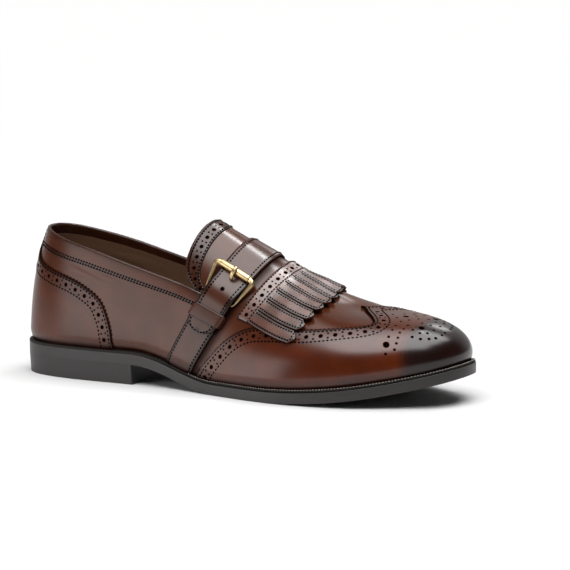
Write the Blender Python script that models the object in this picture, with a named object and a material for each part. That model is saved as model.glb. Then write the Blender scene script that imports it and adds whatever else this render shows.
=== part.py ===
import bmesh
import bpy
import math
import numpy as np

for old in list(bpy.data.objects):
    bpy.data.objects.remove(old, do_unlink=True)

# Sizes are in millimetres and turn into metres when a mesh is made.
# x runs from the back of the heel to the toe, y to the inner side of the foot, z up.
MM = 0.001
NAME = "kiltie_monk_shoe"

LENGTH = 300.0
HEEL_LENGTH = 89.0
HEEL_HEIGHT = 12.4
HEEL_TAPER = 0.8
SOLE_THICK = 8.1
WELT_THICK = 1.5
WELT_WIDTH = 9.0
WELT_STEP = 0.6
BALL_BACK = 150.0
BALL_FRONT = 180.0
TOE_SPRING = 17.3
SPRING_POWER = 2.0
HEEL_RADIUS = 33.0
TOE_RADIUS = 36.0
GAP = 0.3
LEATHER_GAP = 0.45
WALL = 2.0
INSOLE_THICK = 3.0
INSOLE_GAP = 0.9
FEATHER_BACK = 4.4
FEATHER_FRONT = 4.8
TUCK_HEIGHT = 7.0

OVERLAY_THICK = 1.1
STRAP_THICK = 1.4
KILTIE_THICK = 1.3

# Sole outline: share of the length, outer half width, inner half width.
OUTLINE = (
    (0.06, 27.6, 27.2),
    (0.14, 33.5, 33.0),
    (0.26, 35.2, 32.0),
    (0.40, 38.4, 29.5),
    (0.52, 46.4, 35.0),
    (0.64, 53.3, 46.0),
    (0.74, 52.8, 50.0),
    (0.84, 45.4, 45.5),
    (0.92, 33.3, 34.0),
)

# Lower edge of the upper: share of the length, distance inside the sole edge.
INSET = (
    (0.00, 3.9),
    (0.25, 2.9),
    (0.45, 2.8),
    (0.70, 4.2),
    (1.00, 4.8),
)

# Ribs of the upper: share of the length at the sole, top point x, y, z, forward lean in degrees,
# roundness outer and inner, fullness, bulge over the welt, sideways roll at the top.
RIBS = (
    (0.000, 45.0, 0.0, 136.0, 0.0, 1.12, 1.12, 1.00, 2.2, 0.00),
    (0.100, 66.0, 0.6, 128.0, 5.0, 1.10, 1.10, 1.00, 2.6, 0.00),
    (0.200, 96.0, 1.4, 114.5, 14.0, 1.04, 1.04, 1.00, 3.0, 0.00),
    (0.310, 129.0, 2.4, 100.3, 24.0, 1.00, 1.00, 1.00, 3.4, 0.02),
    (0.385, 153.0, 3.0, 88.6, 28.0, 0.96, 0.92, 1.00, 3.4, 0.05),
    (0.455, 174.5, 3.4, 78.0, 31.0, 0.94, 0.88, 1.00, 3.2, 0.08),
    (0.500, 185.5, 3.6, 72.0, 30.0, 0.94, 0.86, 0.98, 3.0, 0.10),
    (0.620, 204.0, 3.6, 61.8, 22.0, 0.94, 0.82, 0.94, 2.6, 0.17),
    (0.740, 215.0, 3.2, 56.7, 8.0, 0.95, 0.82, 0.87, 2.3, 0.20),
    (0.850, 221.8, 2.6, 54.0, 0.0, 0.97, 0.88, 0.78, 2.0, 0.18),
    (0.950, 226.3, 2.2, 52.6, 0.0, 0.99, 0.96, 0.70, 1.7, 0.14),
    (1.000, 228.0, 2.0, 52.2, 0.0, 1.00, 1.00, 0.66, 1.6, 0.12),
)

# Collar line: rib, height share on the outer side, on the inner side.
THROAT_RIB = 0.412
THROAT_LEVEL = 0.395
COLLAR = (
    (0.000, 0.420, 0.420),
    (0.100, 0.414, 0.418),
    (0.160, 0.403, 0.412),
    (0.200, 0.397, 0.408),
    (0.250, 0.395, 0.406),
    (0.290, 0.391, 0.402),
    (0.334, 0.383, 0.394),
    (0.374, 0.376, 0.386),
    (0.412, 0.395, 0.395),
)

# Back edge of the tongue: height share, rib.
TONGUE_EDGE = (
    (0.395, 0.412),
    (0.441, 0.394),
    (0.494, 0.384),
    (0.579, 0.378),
    (0.692, 0.375),
    (0.822, 0.375),
    (1.000, 0.378),
)

# Upper edge of the wing cap from the sole to the middle peak: rib, height share.
WING_EDGE = (
    (0.4745, 0.030),
    (0.4765, 0.075),
    (0.4790, 0.120),
    (0.4825, 0.183),
    (0.4870, 0.236),
    (0.4960, 0.293),
    (0.5120, 0.348),
    (0.5340, 0.384),
    (0.5580, 0.410),
    (0.5840, 0.430),
    (0.6100, 0.448),
    (0.6360, 0.464),
    (0.6600, 0.480),
    (0.6860, 0.495),
    (0.7100, 0.508),
    (0.7350, 0.519),
    (0.7550, 0.536),
    (0.7700, 0.562),
    (0.7800, 0.606),
    (0.7860, 0.680),
    (0.7930, 0.760),
    (0.8050, 0.840),
    (0.8300, 0.905),
    (0.8700, 0.950),
    (0.9200, 0.978),
    (0.9600, 0.992),
    (1.0000, 1.000),
)
WING_FOOT = 0.022
WING_ROWS = (0.0, 0.045, 0.10, 0.165, 0.24, 0.33, 0.43, 0.55, 0.68, 0.81, 0.92, 1.0)

# Upper edge of the heel counter from the back seam to the sole: rib, height share.
COUNTER_EDGE = (
    (0.000, 0.415),
    (0.018, 0.410),
    (0.030, 0.372),
    (0.050, 0.340),
    (0.085, 0.308),
    (0.125, 0.288),
    (0.167, 0.275),
    (0.205, 0.265),
    (0.240, 0.253),
    (0.268, 0.232),
    (0.288, 0.204),
    (0.304, 0.155),
    (0.318, 0.095),
    (0.327, 0.040),
)
COUNTER_FOOT = 0.022
COUNTER_ROWS = (0.0, 0.14, 0.32, 0.52, 0.76, 1.0)
COUNTER_COLUMNS = 24
WING_COLUMNS = 30

STRAP_BACK = 0.4235
STRAP_FRONT = 0.4645
STRAP_COLUMNS = (0.0, 0.26, 0.44, 0.56, 0.74, 1.0)
PRONG_SLOT_ROW = (0.559, 0.530)

# Strap from the inner sole edge over the instep to the tip:
# side, height share, lift off the upper, width share.
STRAP_RUN = (
    (1, 0.024, 0.40, 1.00),
    (1, 0.050, 0.50, 1.00),
    (1, 0.085, 0.45, 1.00),
    (1, 0.160, 0.35, 1.00),
    (1, 0.250, 0.35, 1.00),
    (1, 0.340, 0.35, 1.00),
    (1, 0.430, 0.35, 1.00),
    (1, 0.520, 0.35, 1.00),
    (1, 0.610, 0.35, 1.00),
    (1, 0.700, 0.35, 1.00),
    (1, 0.790, 0.35, 1.00),
    (1, 0.870, 0.35, 1.00),
    (1, 0.940, 0.35, 1.00),
    (-1, 1.000, 0.35, 1.00),
    (-1, 0.940, 0.35, 1.00),
    (-1, 0.870, 0.35, 1.00),
    (-1, 0.790, 0.35, 1.00),
    (-1, 0.710, 0.35, 1.00),
    (-1, 0.640, 0.35, 1.00),
    (-1, 0.606, 0.35, 1.00),
    (-1, 0.559, 0.70, 1.00),
    (-1, 0.530, 1.20, 1.00),
    (-1, 0.494, 2.10, 1.00),
    (-1, 0.454, 2.80, 1.00),
    (-1, 0.420, 2.95, 1.00),
    (-1, 0.386, 2.60, 1.00),
    (-1, 0.351, 2.05, 1.00),
    (-1, 0.302, 1.90, 1.00),
    (-1, 0.263, 1.90, 0.98),
    (-1, 0.241, 1.90, 0.88),
    (-1, 0.226, 1.90, 0.66),
    (-1, 0.219, 1.90, 0.36),
)

BASE_LEVELS = (0.024, 0.07, 0.13, 0.20, 0.27, 0.33, 0.376)
BASE_BACK = 0.4225
BASE_FRONT = 0.4630

KEEPER_LEVELS = (0.277, 0.310, 0.343)
KEEPER_BACK = 0.4180
KEEPER_FRONT = 0.4700
KEEPER_LEG = 0.0026
KEEPER_UNDER = 3.75
KEEPER_TOP = 4.75

# Kiltie: ribs of the band's back edge and of the fringe root, low edge, strips and their tips.
KILTIE_BACK = 0.4790
KILTIE_ROOT = 0.5010
KILTIE_LOW = 0.378
STRIPS = 13
STRIP_COLUMNS = (0.0, 0.3, 0.7, 1.0)
SLIT = 0.045
STRIP_ROWS = (0.0, 0.10, 0.22, 0.60, 1.0)
STRIP_CHAMFER = 0.011
STRIP_SAG = 0.070
# Share across the kiltie, rib of the strip tips, lift at the tips.
STRIP_TIPS = (
    (0.00, 0.606, 2.0),
    (0.08, 0.613, 2.1),
    (0.17, 0.619, 2.3),
    (0.25, 0.629, 2.5),
    (0.33, 0.636, 2.6),
    (0.42, 0.640, 2.6),
    (0.50, 0.634, 2.4),
    (0.58, 0.612, 2.1),
    (0.65, 0.598, 2.0),
    (0.73, 0.590, 2.0),
    (0.81, 0.587, 2.0),
    (0.92, 0.587, 2.0),
    (1.00, 0.585, 2.0),
)
KILTIE_LIFT = 0.50
KILTIE_OVER_WING = 1.85

# Buckle corners: rib, height share, lift, half thickness of the rod.
BUCKLE = (
    (0.4160, 0.608, 4.0, 1.15),
    (0.4715, 0.600, 4.0, 1.15),
    (0.4655, 0.410, 1.35, 0.65),
    (0.4225, 0.425, 1.35, 0.65),
)
BUCKLE_CORNER = 0.12
ROLLER_RADIUS = 2.05
ROLLER_BORE = 1.45
ROLLER_FROM = 0.13
ROLLER_TO = 0.87
PRONG_RIB = 0.4440
# Prong: height share, lift, half width.
PRONG = (
    (0.543, 1.00, 0.70),
    (0.546, 2.70, 0.75),
    (0.558, 4.90, 0.85),
    (0.581, 6.80, 0.85),
    (0.602, 7.45, 0.85),
    (0.614, 7.30, 0.80),
    (0.620, 7.00, 0.65),
)

SOLE_COLUMNS = 32
UPPER_COLUMNS = 36
UPPER_ROWS = (0.0, 0.07, 0.17, 0.31, 0.50, 0.74, 1.0)
TOP_LEVELS = (0.395, 0.48, 0.57, 0.66, 0.75, 0.84, 0.91, 0.96, 1.0)


# Natural cubic curve through a small table.
def curve(xs, ys, x):
    xs = np.asarray(xs, float)
    ys = np.asarray(ys, float)
    count = len(xs)
    step = np.diff(xs)
    matrix = np.zeros((count, count))
    right = np.zeros(count)
    matrix[0, 0] = 1.0
    matrix[-1, -1] = 1.0
    for i in range(1, count - 1):
        matrix[i, i - 1] = step[i - 1]
        matrix[i, i] = 2 * (step[i - 1] + step[i])
        matrix[i, i + 1] = step[i]
        right[i] = 6 * ((ys[i + 1] - ys[i]) / step[i] - (ys[i] - ys[i - 1]) / step[i - 1])
    bend = np.linalg.solve(matrix, right)
    x = np.clip(np.asarray(x, float), xs[0], xs[-1])
    k = np.clip(np.searchsorted(xs, x, side="right") - 1, 0, count - 2)
    u = (xs[k + 1] - x) / step[k]
    v = (x - xs[k]) / step[k]
    sag = (u ** 3 - u) * bend[k] + (v ** 3 - v) * bend[k + 1]
    return u * ys[k] + v * ys[k + 1] + sag * step[k] ** 2 / 6


def column(table, k):
    return [row[k] for row in table]


def lookup(table, k, x):
    return curve(column(table, 0), column(table, k), x)


def straight(table, k, x):
    return np.interp(x, column(table, 0), column(table, k))


# Rib number 0 to 1 runs from the heel seam to the toe; the share is its place along the sole.
def share_of(rib):
    return (1 - np.cos(np.pi * np.asarray(rib, float))) / 2


def half_width(rib, side):
    shares = column(OUTLINE, 0)
    widths = column(OUTLINE, 1 if side < 0 else 2)
    full = [w / (2 * math.sqrt(x * (1 - x))) for x, w in zip(shares, widths)]
    full = [math.sqrt(HEEL_RADIUS * LENGTH / 2)] + full + [math.sqrt(TOE_RADIUS * LENGTH / 2)]
    return curve([0.0] + shares + [1.0], full, share_of(rib))


# Edge of the sole, or a line a given distance inside it.
def sole_edge(rib, side, inset):
    x = inset + share_of(rib) * (LENGTH - 2 * inset)
    y = side * np.sin(np.pi * np.asarray(rib, float)) * (half_width(rib, side) - inset)
    return x, y


# Underside of the sole: heel seat, arch, flat ball and toe spring.
def sole_bottom(x):
    back = np.clip((np.asarray(x, float) - HEEL_LENGTH) / (BALL_BACK - HEEL_LENGTH), 0, 1)
    front = np.clip((np.asarray(x, float) - BALL_FRONT) / (LENGTH - BALL_FRONT), 0, 1)
    return HEEL_HEIGHT * (1 - back * back * (3 - 2 * back)) + TOE_SPRING * front ** SPRING_POWER


# Line where the upper meets the welt.
def feather(rib, side):
    share = share_of(rib)
    x = FEATHER_BACK + share * (LENGTH - FEATHER_BACK - FEATHER_FRONT)
    wide = half_width(rib, side) - lookup(INSET, 1, share)
    y = side * np.sin(np.pi * np.asarray(rib, float)) * wide
    return np.stack([x, y, sole_bottom(x) + SOLE_THICK + GAP], -1)


# Point of the upper: each rib rises from the welt as part of an arch to its top point.
# Level 0 is the welt and level 1 the top of the arch.
def skin(rib, level, side):
    rib, level = np.broadcast_arrays(np.asarray(rib, float), np.asarray(level, float))
    share = share_of(rib)
    foot = feather(rib, side)
    top = np.stack([lookup(RIBS, k, share) for k in (1, 2, 3)], -1)
    lean = np.radians(lookup(RIBS, 4, share))
    rounding = lookup(RIBS, 5 if side < 0 else 6, share)
    fullness = lookup(RIBS, 7, share)
    bulge = lookup(RIBS, 8, share)
    roll = lookup(RIBS, 9, share)
    near = np.clip(share - 0.001, 0, 1)
    far = np.clip(share + 0.001, 0, 1)
    slope = (lookup(RIBS, 3, far) - lookup(RIBS, 3, near)) / (lookup(RIBS, 1, far) - lookup(RIBS, 1, near))
    rise = top[..., 2] - foot[..., 2]
    upward = np.stack([np.tan(lean) * rise, 0 * rise, rise], -1)
    inward = top - foot - upward
    cosine = np.clip(np.cos(level * np.pi / 2), 0, 1)
    across = 1 - cosine ** rounding
    height = np.clip(np.sin(level * np.pi / 2), 0, 1) ** fullness
    point = foot + inward * across[..., None] + upward * height[..., None]
    tilt = slope * inward[..., 0] + roll * inward[..., 1]
    point[..., 2] -= tilt * across ** 3 * (1 - across)
    over = np.clip((point[..., 2] - foot[..., 2]) / TUCK_HEIGHT, 0, 1)
    swell = bulge * (1 - (1 - over) ** 2) * cosine ** 2
    flat = inward * np.array([1.0, 1.0, 0.0])
    flat /= np.maximum(np.linalg.norm(flat, axis=-1, keepdims=True), 1e-9)
    return point - flat * swell[..., None]


# Outward direction of the upper at a point.
def outward(rib, level, side):
    step = 0.002
    rib, level = np.broadcast_arrays(np.asarray(rib, float), np.asarray(level, float))
    along = skin(np.clip(rib + step, 0, 1), level, side) - skin(np.clip(rib - step, 0, 1), level, side)
    rising = skin(rib, np.clip(level + step, 0, 1), side) - skin(rib, np.clip(level - step, 0, 1), side)
    normal = np.cross(along, rising) * (-side)
    return normal / np.maximum(np.linalg.norm(normal, axis=-1, keepdims=True), 1e-12)


def raised(rib, level, side, lift):
    lift = np.asarray(lift, float)
    return skin(rib, level, side) + outward(rib, level, side) * lift[..., None]


lateral_reach = sole_edge(np.linspace(0, 1, 401), -1, 0.0)[1].min()
medial_reach = sole_edge(np.linspace(0, 1, 401), 1, 0.0)[1].max()
CENTRE = np.array([LENGTH / 2, (lateral_reach + medial_reach) / 2, 0.0])


# Joins equal points and drops faces that have lost a side.
def weld(points, faces):
    keys = {}
    index = []
    kept = []
    for p in points:
        key = tuple(np.round(p, 3))
        if key not in keys:
            keys[key] = len(kept)
            kept.append(p)
        index.append(keys[key])
    clean = []
    for face in faces:
        loop = []
        for i in face:
            if not loop or loop[-1] != index[i]:
                loop.append(index[i])
        if len(loop) > 1 and loop[0] == loop[-1]:
            loop.pop()
        if len(set(loop)) == len(loop) and len(loop) > 2:
            clean.append(tuple(loop))
    return np.array(kept), clean


def triangles(faces):
    result = []
    for face in faces:
        for k in range(1, len(face) - 1):
            result.append((face[0], face[k], face[k + 1]))
    return result


def point_normals(points, faces):
    tris = np.array(triangles(faces))
    a, b, c = points[tris[:, 0]], points[tris[:, 1]], points[tris[:, 2]]
    cross = np.cross(b - a, c - a)
    normals = np.zeros_like(points)
    for k in range(3):
        np.add.at(normals, tris[:, k], cross)
    return normals / np.maximum(np.linalg.norm(normals, axis=1, keepdims=True), 1e-12)


# Quads of a grid of points; closed joins the last column to the first.
def grid_faces(rows, columns, start, flip, mask=None):
    faces = []
    for i in range(rows - 1):
        for j in range(columns - 1):
            if mask is not None and not mask[i][j]:
                continue
            a = start + i * columns + j
            quad = (a, a + 1, a + columns + 1, a + columns)
            faces.append(quad[::-1] if flip else quad)
    return faces


material_colours = {
    "upper_leather": (0.16, 0.065, 0.035),
    "wing_leather": (0.17, 0.062, 0.03),
    "counter_leather": (0.15, 0.06, 0.034),
    "strap_leather": (0.14, 0.06, 0.036),
    "kiltie_leather": (0.16, 0.075, 0.048),
    "sole_leather": (0.035, 0.034, 0.034),
    "heel_rubber": (0.032, 0.032, 0.033),
    "insole_leather": (0.32, 0.20, 0.11),
    "buckle_brass": (0.48, 0.34, 0.14),
}

parts = bpy.data.collections.new(NAME)
bpy.context.scene.collection.children.link(parts)
root = bpy.data.objects.new("shoe_root", None)
parts.objects.link(root)
materials = {}
for slot, colour in material_colours.items():
    material = bpy.data.materials.new(slot)
    material.use_nodes = True
    shader = material.node_tree.nodes["Principled BSDF"]
    shader.inputs["Base Color"].default_value = (*colour, 1.0)
    shader.inputs["Roughness"].default_value = 0.45
    shader.inputs["Metallic"].default_value = 1.0 if slot == "buckle_brass" else 0.0
    materials[slot] = material


# Makes the object, with all faces turned outward.
def add_solid(name, points, faces, slot):
    points, faces = weld(points, faces)
    mesh = bpy.data.meshes.new(name)
    coordinates = [tuple((p - CENTRE) * MM) for p in points]
    mesh.from_pydata(coordinates, [], triangles(faces))
    work = bmesh.new()
    work.from_mesh(mesh)
    bmesh.ops.recalc_face_normals(work, faces=work.faces)
    if work.calc_volume(signed=True) < 0:
        bmesh.ops.reverse_faces(work, faces=work.faces)
    work.to_mesh(mesh)
    work.free()
    mesh.materials.append(materials[slot])
    thing = bpy.data.objects.new(name, mesh)
    parts.objects.link(thing)
    thing.parent = root
    return thing


# Leather sheet: a surface thickened between two distances along its own normals.
def add_leather(name, points, faces, low, high, slot):
    points, faces = weld(points, faces)
    normals = point_normals(points, faces)
    count = len(points)
    outer = points + normals * high
    inner = points + normals * low
    solid = list(faces)
    solid += [tuple(i + count for i in face[::-1]) for face in faces]
    solid += rim_faces(faces, count)
    return add_solid(name, np.vstack([outer, inner]), solid, slot)


# Walls along the open edges between an outer and an inner layer.
def rim_faces(faces, count):
    used = set()
    for face in faces:
        for k in range(len(face)):
            used.add((face[k], face[(k + 1) % len(face)]))
    walls = []
    for a, b in sorted(used):
        if (b, a) not in used:
            walls.append((b, a, a + count, b + count))
    return walls


# Two layers given as equal grids, closed into one body.
def add_layers(name, outer, inner, flip, slot, mask=None):
    rows, columns = outer.shape[:2]
    count = rows * columns
    faces = grid_faces(rows, columns, 0, flip, mask)
    solid = list(faces)
    solid += [tuple(i + count for i in face[::-1]) for face in faces]
    solid += rim_faces(faces, count)
    points = np.vstack([outer.reshape(-1, 3), inner.reshape(-1, 3)])
    return add_solid(name, points, solid, slot)


# Stacked outlines around the foot, with flat caps across the first and last one.
def add_stack(name, loops, ring, slot):
    ribs = loops[0][0]
    count = len(ribs)
    points = []
    faces = []
    for _, line, level in loops:
        for side in (-1, 1):
            x, y = line(ribs, side)
            z = level(x)
            points += [np.array(p) for p in zip(x, y, z)]
    width = 2 * count
    pairs = len(loops) if ring else len(loops) - 1
    for k in range(pairs):
        a = k * width
        b = ((k + 1) % len(loops)) * width
        for j in range(count - 1):
            faces.append((a + j, a + j + 1, b + j + 1, b + j))
            faces.append((b + count + j, b + count + j + 1, a + count + j + 1, a + count + j))
        if ribs[-1] < 1.0:
            end = count - 1
            faces.append((a + end, a + count + end, b + count + end, b + end))
    if not ring:
        for base in (0, (len(loops) - 1) * width):
            for j in range(count - 1):
                faces.append((base + j, base + j + 1, base + count + j + 1, base + count + j))
    return add_solid(name, points, faces, slot)


# Lines a given distance inside the sole edge, and inside the lower edge of the upper.
def inside_sole(inset):
    return lambda ribs, side: sole_edge(ribs, side, inset)


def inside_upper(inset):
    def line(ribs, side):
        share = share_of(ribs)
        x = FEATHER_BACK + inset + share * (LENGTH - FEATHER_BACK - FEATHER_FRONT - 2 * inset)
        wide = half_width(ribs, side) - lookup(INSET, 1, share) - inset
        return x, side * np.sin(np.pi * ribs) * wide
    return line


def level_at(height):
    return lambda x: sole_bottom(x) + height


def flat_at(height):
    return lambda x: 0 * x + height


def lens_ribs(count, last=1.0):
    return np.linspace(0.0, last, count)


def make_sole():
    share_stops = [HEEL_LENGTH / LENGTH, BALL_BACK / LENGTH, BALL_FRONT / LENGTH]
    stops = [math.acos(1 - 2 * share) / math.pi for share in share_stops]
    ribs = np.unique(np.round(np.concatenate([lens_ribs(SOLE_COLUMNS), stops]), 5))
    rim = SOLE_THICK - WELT_THICK - GAP
    bed = WELT_WIDTH + GAP
    add_stack("outsole", (
        (ribs, inside_sole(0.0), level_at(0.0)),
        (ribs, inside_sole(0.0), level_at(rim)),
        (ribs, inside_sole(bed), level_at(rim)),
        (ribs, inside_sole(bed), level_at(SOLE_THICK)),
    ), False, "sole_leather")
    add_stack("welt", (
        (ribs, inside_sole(WELT_STEP), level_at(rim + GAP)),
        (ribs, inside_sole(WELT_STEP), level_at(SOLE_THICK)),
        (ribs, inside_sole(WELT_WIDTH), level_at(SOLE_THICK)),
        (ribs, inside_sole(WELT_WIDTH), level_at(rim + GAP)),
    ), True, "sole_leather")
    seat = lens_ribs(16, stops[0])
    add_stack("heel", (
        (seat, inside_sole(HEEL_TAPER), flat_at(0.0)),
        (seat, inside_sole(0.0), flat_at(HEEL_HEIGHT - GAP)),
    ), False, "heel_rubber")
    inside = WALL + INSOLE_GAP
    add_stack("insole", (
        (ribs, inside_upper(inside), level_at(SOLE_THICK + GAP)),
        (ribs, inside_upper(inside), level_at(SOLE_THICK + GAP + INSOLE_THICK)),
    ), False, "insole_leather")


def collar_level(rib, side):
    level = lookup(COLLAR, 1 if side < 0 else 2, np.minimum(rib, THROAT_RIB))
    return np.where(rib >= THROAT_RIB, THROAT_LEVEL, level)


def make_upper():
    back = np.linspace(0.0, THROAT_RIB, UPPER_COLUMNS // 2 - 2)
    front = np.linspace(THROAT_RIB, 1.0, UPPER_COLUMNS // 2 + 8)
    ribs = np.concatenate([back, front[1:]])
    rows = np.array(UPPER_ROWS)
    levels = np.array(TOP_LEVELS)
    points = []
    faces = []
    for side in (-1, 1):
        level = rows[:, None] * collar_level(ribs, side)[None]
        sheet = skin(ribs[None] + 0 * level, level, side)
        faces += grid_faces(len(rows), len(ribs), len(points), side > 0)
        points += list(sheet.reshape(-1, 3))
        start = straight(TONGUE_EDGE, 1, levels)[:, None]
        place = start + (1 - start) * ((front - THROAT_RIB) / (1 - THROAT_RIB))[None]
        sheet = skin(place, levels[:, None] + 0 * place, side)
        faces += grid_faces(len(levels), len(front), len(points), side > 0)
        points += list(sheet.reshape(-1, 3))
    add_leather("upper", points, faces, -WALL, 0.0, "upper_leather")


# Overlay with its lower edge on the welt and its upper edge along a table of ribs and levels.
def make_overlay(name, table, columns, foot, rows, slot):
    order = np.linspace(0, len(table) - 1, columns)
    ribs = curve(range(len(table)), column(table, 0), order)
    edge = curve(range(len(table)), column(table, 1), order)
    rows = np.array(rows)
    points = []
    faces = []
    for side in (-1, 1):
        level = foot + (edge - foot)[None] * rows[:, None]
        sheet = skin(ribs[None] + 0 * level, level, side)
        faces += grid_faces(len(rows), len(ribs), len(points), side > 0)
        points += list(sheet.reshape(-1, 3))
    add_leather(name, points, faces, LEATHER_GAP, LEATHER_GAP + OVERLAY_THICK, slot)


def make_base():
    ribs = BASE_BACK + (BASE_FRONT - BASE_BACK) * np.linspace(0, 1, 5)
    levels = np.array(BASE_LEVELS)[:, None]
    place = ribs[None] + 0 * levels
    low = np.full(place.shape, LEATHER_GAP)
    outer = raised(place, levels + 0 * place, -1, low + OVERLAY_THICK)
    inner = raised(place, levels + 0 * place, -1, low)
    add_layers("strap_base", outer, inner, False, "strap_leather")


def make_strap():
    middle = (STRAP_BACK + STRAP_FRONT) / 2
    half = (STRAP_FRONT - STRAP_BACK) / 2
    spread = (np.array(STRAP_COLUMNS) * 2 - 1) * half
    outer = []
    inner = []
    for side, level, lift, share in STRAP_RUN:
        place = middle + spread * share
        heights = np.full(place.shape, level)
        outer.append(raised(place, heights, side, np.full(place.shape, lift + STRAP_THICK)))
        inner.append(raised(place, heights, side, np.full(place.shape, lift)))
    levels = [(row[0], row[1]) for row in STRAP_RUN]
    slot_row = levels.index((-1, PRONG_SLOT_ROW[0]))
    mask = np.ones((len(outer) - 1, len(STRAP_COLUMNS) - 1), bool)
    mask[slot_row, 2] = False
    add_layers("strap", np.array(outer), np.array(inner), False, "strap_leather", mask)


# Keeper: a low bracket whose section is swept up the strap.
def make_keeper():
    b, f, t = KEEPER_BACK, KEEPER_FRONT, KEEPER_LEG
    section = (
        (b, LEATHER_GAP),
        (b, KEEPER_TOP - 0.5),
        (b + t * 0.6, KEEPER_TOP),
        ((b + f) / 2, KEEPER_TOP),
        (f - t * 0.6, KEEPER_TOP),
        (f, KEEPER_TOP - 0.5),
        (f, LEATHER_GAP),
        (f - t, LEATHER_GAP),
        (f - t, KEEPER_UNDER),
        ((b + f) / 2, KEEPER_UNDER),
        (b + t, KEEPER_UNDER),
        (b + t, LEATHER_GAP),
    )
    place = np.array(column(section, 0))
    lift = np.array(column(section, 1))
    points = []
    for level in KEEPER_LEVELS:
        points += list(raised(place, np.full(place.shape, level), -1, lift))
    count = len(section)
    faces = []
    for row in range(len(KEEPER_LEVELS) - 1):
        for k in range(count):
            a = row * count + k
            b2 = row * count + (k + 1) % count
            faces.append((a, b2, b2 + count, a + count))
    for base in (0, (len(KEEPER_LEVELS) - 1) * count):
        for k in range(5):
            far = count - 1 - k
            faces.append((base + k, base + k + 1, base + far - 1, base + far))
    add_solid("keeper", points, faces, "strap_leather")


# Kiltie: a band over the instep whose front edge runs out in a row of strips.
def make_kiltie():
    columns = []
    strip_of = []
    for strip in range(STRIPS):
        for k in STRIP_COLUMNS:
            columns.append((strip + SLIT + k * (1 - 2 * SLIT)) / STRIPS)
            strip_of.append(strip)
    columns = np.array(columns)
    edge_column = np.array([k in (0.0, 1.0) for k in STRIP_COLUMNS] * STRIPS)
    middle = (np.array(strip_of) + 0.5) / STRIPS
    tips = lookup(STRIP_TIPS, 1, middle)
    tip_lift = lookup(STRIP_TIPS, 2, middle)
    band = np.linspace(KILTIE_BACK, KILTIE_ROOT, 3)
    rows = []
    for rib in band[:-1]:
        rows.append((np.full(columns.shape, rib), np.full(columns.shape, KILTIE_LIFT), 0.0))
    for share in STRIP_ROWS:
        rib = KILTIE_ROOT + (tips - KILTIE_ROOT) * share
        if share == STRIP_ROWS[-1]:
            rib = rib - np.where(edge_column, STRIP_CHAMFER, 0.0)
        rise = np.clip(share / 0.2, 0, 1)
        lift = KILTIE_LIFT + (KILTIE_OVER_WING - KILTIE_LIFT) * rise
        lift = lift + (tip_lift - KILTIE_OVER_WING) * np.clip((share - 0.2) / 0.8, 0, 1)
        rows.append((rib, lift, share))
    shape = (len(rows), len(columns))
    outer = np.zeros(shape + (3,))
    inner = np.zeros(shape + (3,))
    for i, (rib, lift, share) in enumerate(rows):
        from_low = np.minimum(columns, 1 - columns) * 2
        level = KILTIE_LOW + (1 - KILTIE_LOW) * from_low
        level = level - STRIP_SAG * share * (1 - from_low)
        for side in (-1, 1):
            pick = (columns < 0.5) if side < 0 else (columns >= 0.5)
            outer[i, pick] = raised(rib[pick], level[pick], side, lift[pick] + KILTIE_THICK)
            inner[i, pick] = raised(rib[pick], level[pick], side, lift[pick])
    mask = np.ones((shape[0] - 1, shape[1] - 1), bool)
    for j in range(shape[1] - 1):
        if strip_of[j] != strip_of[j + 1]:
            mask[len(band) - 1:, j] = False
    add_layers("kiltie", outer, inner, False, "kiltie_leather", mask)


# Round rod along a path, with its own half thickness at each point.
def rod(path, radii, up, sides, closed):
    path = np.array(path)
    count = len(path)
    points = []
    for k in range(count):
        if closed:
            ahead = path[(k + 1) % count] - path[k - 1]
        else:
            ahead = path[min(k + 1, count - 1)] - path[max(k - 1, 0)]
        ahead = ahead / np.linalg.norm(ahead)
        across = np.cross(ahead, up)
        across = across / np.linalg.norm(across)
        high = np.cross(across, ahead)
        for m in range(sides):
            angle = 2 * math.pi * (m + 0.5) / sides
            points.append(path[k] + radii[k] * (math.cos(angle) * across + math.sin(angle) * high))
    faces = []
    for k in range(count if closed else count - 1):
        for m in range(sides):
            a = k * sides + m
            b = k * sides + (m + 1) % sides
            shift = sides if k < count - 1 else -k * sides
            faces.append((a, b, b + shift, a + shift))
    if not closed:
        for base in (0, (count - 1) * sides):
            faces.append(tuple(base + m for m in range(sides)))
    return points, faces


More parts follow.
